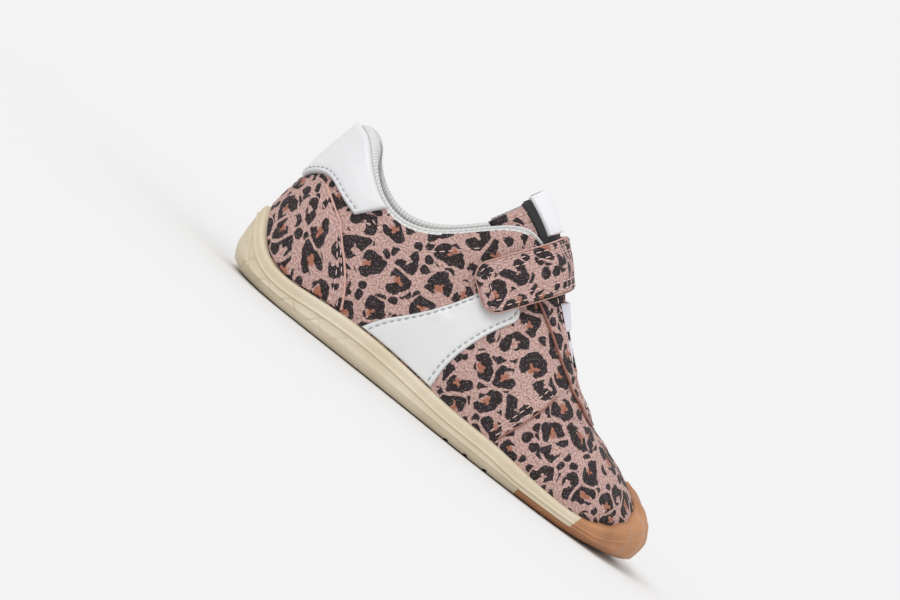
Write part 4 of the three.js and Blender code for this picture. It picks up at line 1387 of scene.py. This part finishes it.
def skin_line(places, inner):
    """Line on the side of the upper through places given as x and z, with its normals."""
    x, z = np.array(places, float).T

    def turned(place):
        return 1 - place if inner else place

    def behind(place):
        return upper_point(turned(place), share_at_height(turned(place), z))[..., 0] < x

    u = turned(bisect(np.full(len(x), 0.06), np.full(len(x), 0.46), behind, 16))
    v = share_at_height(u, z)
    return skin_offset(u, v, ON_UPPER), upper_normal(u, v)


def collar_line(distance, first, last, inner):
    """Line at a distance below the top edge, between two shares of the loop."""
    u = np.linspace(first, last, 80)
    u = 1 - u if inner else u
    v = share_below_top(u, distance)
    return skin_offset(u, v, ON_UPPER), upper_normal(u, v)


# Overlays on the upper
def on_skin(place_at):
    """Point of an overlay from two shares and a height over the upper."""
    def point_at(a, b, height):
        return skin_offset(*place_at(a, b), height)
    return point_at


def eyestay_cut(a, b):
    return flat_cut(*eyestay_place(a, b))


def counter_cut(a, b):
    """The counter is a piece of its own, so its print runs round the heel."""
    u, v = counter_place(a, b)
    return np.stack([np.interp(u, HEEL_U, HEEL_WALKED), -below_top(u, v)], -1)


def thread_piece(name, rows, material, **sizes):
    return make_piece(name, [stitch_shell(rows, **sizes)], [material])


def sheet_piece(name, materials, slot, replaced, *sheet, **form):
    return make_piece(name, [sheet_shell(*sheet, **form)], materials, replaced)


def cord_piece(name, lines, material, *section_size):
    cords = [cord_shell(*line, *section_size) for line in lines]
    return make_piece(name, cords, [material])


def cord_shell(line, normals, width, height, sides=8):
    """Low round bead along a line, such as a folded edge or a piping."""
    forward = unit(np.gradient(line, axis=0))
    side = unit(np.cross(normals, forward))
    up = np.cross(forward, side)
    turn = np.arange(sides) * 2 * math.pi / sides
    rings = (line[:, None] + side[:, None] * (np.cos(turn) * width / 2)[None, :, None]
             + up[:, None] * (np.sin(turn) * height / 2)[None, :, None])
    walked = walk(line)
    cloth = np.stack([np.repeat(walked[:, None], sides, 1), np.repeat(turn[None], len(line), 0)], -1)
    caps = np.array([np.arange(sides), np.arange(sides)[::-1] + (len(line) - 1) * sides])
    return Shell(rings, [grid_faces(len(line), sides, wrap_columns=True)[:, ::-1], caps], cloth)


# Sizes in millimetres: height, mesh step and edge radius of a sheet, and how deep its thread lies
SHEET_TOP, SHEET_STEP, SHEET_EDGE = 1.1, 0.7, 0.6
SHEET = (SHEET_TOP, SHEET_STEP, SHEET_EDGE)
THREAD_SUNK = 0.15
FOLD = (0.9, 1.1)
FINE_STITCH = 1.5

# Front edge of the quarters and the row of stitches along the collar
QUARTER_SEAMS, QUARTER_FOLD, QUARTER_HEIGHTS = (1.3, 3.4), (0.6, 0.7), np.linspace(10.5, 31, 60)
COLLAR_SEAM = (7.0, 0.125, 0.235)


def quarter_line(inset, inner):
    return skin_line(np.stack([quarter_edge(QUARTER_HEIGHTS) - inset, QUARTER_HEIGHTS], -1), inner)


quarter_rows = [quarter_line(inset, inner) for inset in QUARTER_SEAMS for inner in (False, True)]
collar_rows = [collar_line(*COLLAR_SEAM, inner) for inner in (False, True)]
thread_piece("quarter_stitches", quarter_rows + collar_rows, PINK_THREAD)

# Heel counter. Its front edge and top show up to COUNTER_SHOWS, and the heel tab covers the rest
COUNTER_SIZE, COUNTER_SEAMS, COUNTER_SHOWS = (88, 26), (1.5, 3.6), 0.24
HEEL_U = np.linspace(-0.16, 0.16, 161)
HEEL_WALKED = walk(upper_point(HEEL_U, 0.3))
counter_at = on_skin(counter_place)
sheet_piece("heel_counter_cloth", [COUNTER_CLOTH], "leopard_cloth", ["heel_counter"], counter_at,
            COUNTER_SIZE, *SHEET, [("lrt", inset) for inset in COUNTER_SEAMS], cloth=counter_cut)


def counter_front(inset, height, mirrored):
    """Line up the counter's front edge and back along its top to the heel tab, with its normals."""
    in_a, in_b = inset / COUNTER_SIZE[0], inset / COUNTER_SIZE[1]
    a = np.concatenate([np.full(80, in_a), np.linspace(in_a, COUNTER_SHOWS, 40)])
    b = np.concatenate([np.linspace(0.02, 1 - in_b, 80), np.full(40, 1 - in_b)])
    return line_over(counter_at, 1 - a if mirrored else a, b, height, 160)


counter_rows = [counter_front(inset, SHEET_TOP - THREAD_SUNK, mirrored)
                for mirrored in (False, True) for inset in COUNTER_SEAMS]
thread_piece("counter_stitches", counter_rows, PINK_THREAD)

# Padded heel tab
TAB_SIZE, TAB_HEIGHT, TAB_EDGE, TAB_SEAM = (78, 22), 1.7, 0.9, 1.6
TAB_BULGE, TAB_THREAD, TAB_FILL = 0.9, 0.2, 0.7
tab_at = on_skin(tab_place)
heel_tab = sheet_piece("heel_tab_leather", [TAB_LEATHER], "white_leather", ["heel_tab"], tab_at, TAB_SIZE,
                       TAB_HEIGHT, SHEET_STEP, TAB_EDGE, [("b", TAB_SEAM)], bulge=TAB_BULGE)
tab_row = seam_paths(tab_at, TAB_SIZE, "b", TAB_SEAM, TAB_HEIGHT + TAB_THREAD, FINE_STITCH)
thread_piece("tab_stitches", [tab_row], GREY_THREAD, length=FINE_STITCH)

# Saddle panels
SADDLE_SIZE, SADDLE_SEAM, SADDLE_THREAD, SADDLE_END, SADDLE_STITCH = (23, 38), 1.7, 1.0, 1.0, 0.4
for side in ("outer", "inner"):
    saddle_at = on_skin(lambda a, b: saddle_place(a, b, side == "inner"))
    sheet_piece("saddle_leather_" + side, [WHITE_LEATHER], "white_leather", ["saddle_" + side], saddle_at,
                SADDLE_SIZE, *SHEET, [("lr", SADDLE_SEAM)])
    rows = [seam_paths(saddle_at, SADDLE_SIZE, edge, SADDLE_SEAM, SADDLE_THREAD, SADDLE_END) for edge in "lr"]
    thread_piece("saddle_stitches_" + side, rows, GREY_THREAD, length=FINE_STITCH, width=SADDLE_STITCH)

# Eyestay and the folded edges
EYESTAY_SIZE, EYESTAY_SEAM, EYESTAY_SAMPLES = (125, 8), 2.0, 400
eyestay_at = on_skin(eyestay_place)
sheet_piece("eyestay_cloth", [EYESTAY_CLOTH], "leopard_cloth", ["eyestay"], eyestay_at, EYESTAY_SIZE, *SHEET,
            [("t", EYESTAY_SEAM)], cloth=eyestay_cut)
eyestay_row = seam_paths(eyestay_at, EYESTAY_SIZE, "t", EYESTAY_SEAM, SHEET_TOP - THREAD_SUNK, EYESTAY_SEAM,
                         EYESTAY_SAMPLES)
thread_piece("eyestay_stitches", [eyestay_row], PINK_THREAD)
# The fold cords' dark colour is partly painted shadow of the raised edges
cord_piece("quarter_fold", [quarter_line(0, inner) for inner in (False, True)], FOLD_EDGE_AND_SHADE, *QUARTER_FOLD)
eyestay_edge = seam_paths(eyestay_at, EYESTAY_SIZE, "b", 0.25, 0.5, 1.0, EYESTAY_SAMPLES)
cord_piece("eyestay_fold", [eyestay_edge], FOLD_EDGE_AND_SHADE, *FOLD)
counter_edges = [counter_front(0.1, SHEET_TOP / 2, mirrored) for mirrored in (False, True)]
cord_piece("counter_fold", counter_edges, PINK_EDGE, *FOLD)

# Tongue with its black centre, blank label and the two elastics
TONGUE_SIZE, TONGUE_EDGE, TONGUE_SEAM, TONGUE_THREAD = (30, 68), 1.0, 2.4, 0.1
CENTRE_LOW, CENTRE_TOP, CENTRE_MORE = 0.74, 1.012, 1.7
ELASTIC_SIZE = (34, 6.4)


def tongue_at(a, b, height):
    return tongue_offset(b, 2 * a - 1, height)


def tongue_strip(low, high, half_span):
    """Strip across the tongue between two shares of its length."""
    def point_at(a, b, height):
        share = mix(low, high, b)
        return tongue_offset(share, (2 * a - 1) * np.minimum(half_span / tongue_half_width(share), 1), height)
    return point_at


sheet_piece("tongue_cloth", [TONGUE_CLOTH, LINING], "leopard_cloth", ["tongue"], tongue_at, TONGUE_SIZE, 0,
            SHEET_STEP, TONGUE_EDGE, low=-TONGUE, back_look=1)
tongue_row = seam_paths(tongue_at, TONGUE_SIZE, "t", TONGUE_SEAM, TONGUE_THREAD, 2.0)
thread_piece("tongue_stitches", [tongue_row], PINK_THREAD)
sheet_piece("tongue_centre", [BLACK_TAPE], "leopard_cloth", [],
            tongue_strip(CENTRE_LOW, CENTRE_TOP, LABEL_WIDTH / 2 + CENTRE_MORE), (18, 20), 0.7, 0.6, 0.4)
sheet_piece("label_loop", [LABEL_TAPE], "white_tape", ["tongue_label"],
            tongue_strip(LABEL_LOW, LABEL_TOP, LABEL_WIDTH / 2), (LABEL_WIDTH, 19), CLEARANCE + LABEL,
            0.5, 0.7, [("lr", 1.2)], low=0.2)
for number, place in enumerate(ELASTIC_PLACES, 1):
    bar_at = tongue_strip(place - ELASTIC_SHARE / 2, place + ELASTIC_SHARE / 2, ELASTIC_SPAN)
    sheet_piece("elastic_bar_%d" % number, [ELASTIC_TAPE], "white_elastic", ["elastic_%d" % number], bar_at,
                ELASTIC_SIZE, CLEARANCE + ELASTIC, 0.4, 0.5, low=0.1)

# Strap with its pale cut edge and two rows of stitches
STRAP_TOP = STRAP_LIFT + STRAP_THICKNESS
STRAP_SIZE = (STRAP_LENGTH, STRAP_WIDTH)
STRAP_SEAMS = (1.6, 3.8)
STRAP_EDGING = (0.5, STRAP_THICKNESS - 0.7)
sheet_piece("strap_cloth", [STRAP_CLOTH, PINK_EDGE], "leopard_cloth", ["strap"], strap_point, STRAP_SIZE,
            STRAP_TOP, 0.6, 0.7, [("lbtr", inset) for inset in STRAP_SEAMS], low=STRAP_LIFT, back_look=1)
strap_rows = [seam_paths(strap_point, STRAP_SIZE, edge, inset, STRAP_TOP - THREAD_SUNK, inset)
              for edge in "lbtr" for inset in STRAP_SEAMS]
thread_piece("strap_stitches", strap_rows, PINK_THREAD)


def strap_edge():
    """Line round the strap's cut edge, from the fixed end along one side, round the free end and back."""
    long_way, short_way = np.linspace(1, 0, 240), np.linspace(0, 1, 30)
    a = np.concatenate([long_way, np.zeros(28), long_way[::-1]])
    b = np.concatenate([np.zeros(240), short_way[1:-1], np.ones(240)])
    return line_over(strap_point, a, b, (STRAP_TOP + STRAP_LIFT) / 2, 500)


cord_piece("strap_edging", [strap_edge()], PINK_EDGE, *STRAP_EDGING)

# Camera, floor and light
TILT = math.radians(38)
CAMERA_ELEVATION = math.radians(4)
VIEW_WIDTH = 278.6
CAMERA_DISTANCE = 2.0
SENSOR = 36
AIM = (np.array([62.4, 0, 32.9]) - MIDDLE) * MM

back = np.array([0, -math.cos(CAMERA_ELEVATION), math.sin(CAMERA_ELEVATION)])
up_flat = np.array([0, math.sin(CAMERA_ELEVATION), math.cos(CAMERA_ELEVATION)])
right = np.array([math.cos(TILT), 0, 0]) + math.sin(TILT) * up_flat
up_tilted = np.cross(back, right)
camera_data = bpy.data.cameras.new("camera")
camera_data.sensor_width = SENSOR
camera_data.lens = SENSOR * CAMERA_DISTANCE / (VIEW_WIDTH * MM)
camera_data.clip_end = 20
camera = bpy.data.objects.new("camera", camera_data)
stand = np.eye(4)
stand[:3] = np.stack([right, up_tilted, back, AIM + back * CAMERA_DISTANCE], -1)
camera.matrix_world = Matrix(stand.tolist())
bpy.context.scene.collection.objects.link(camera)
bpy.context.scene.camera = camera

PALE = colour(243, 243, 243)
SUNS = (("key", (-0.55, -0.75, 0.9), 1.3, 35), ("fill", (0.8, -0.6, 0.5), 0.35, 60))
FLOOR = 8.0
FLOOR_GAP = 0.0002

for name, place, power, spread in SUNS:
    data = bpy.data.lights.new(name, "SUN")
    data.energy = power
    data.angle = math.radians(spread)
    light = bpy.data.objects.new(name, data)
    light.rotation_euler = Vector(place).to_track_quat("Z", "Y").to_euler()
    bpy.context.scene.collection.objects.link(light)

world = bpy.data.worlds.new("world")
bpy.context.scene.world = world
world.use_nodes = True
world.node_tree.nodes["Background"].inputs[0].default_value = PALE
world.node_tree.nodes["Background"].inputs[1].default_value = 1.0
bpy.context.scene.view_settings.view_transform = "Standard"

# The floor takes the shade that shows it as pale as the background
sun_share = sum(power * place[2] / Vector(place).length for _, place, power, _ in SUNS) / math.pi
floor_shade = PALE[0] / (PALE[0] + sun_share)
floor_material, _, floor_shader = new_material("floor")
floor_shader.inputs["Base Color"].default_value = (floor_shade, floor_shade, floor_shade, 1)
floor_shader.inputs["Roughness"].default_value = 1.0
floor_shader.inputs["Specular IOR Level"].default_value = 0.0
floor_mesh = bpy.data.meshes.new("floor")
corners = [(-FLOOR, -FLOOR), (FLOOR, -FLOOR), (FLOOR, FLOOR), (-FLOOR, FLOOR)]
floor_mesh.from_pydata([(x, y, -FLOOR_GAP) for x, y in corners], [], [(0, 1, 2, 3)])
floor_mesh.materials.append(floor_material)
floor = bpy.data.objects.new("floor", floor_mesh)
bpy.context.scene.collection.objects.link(floor)
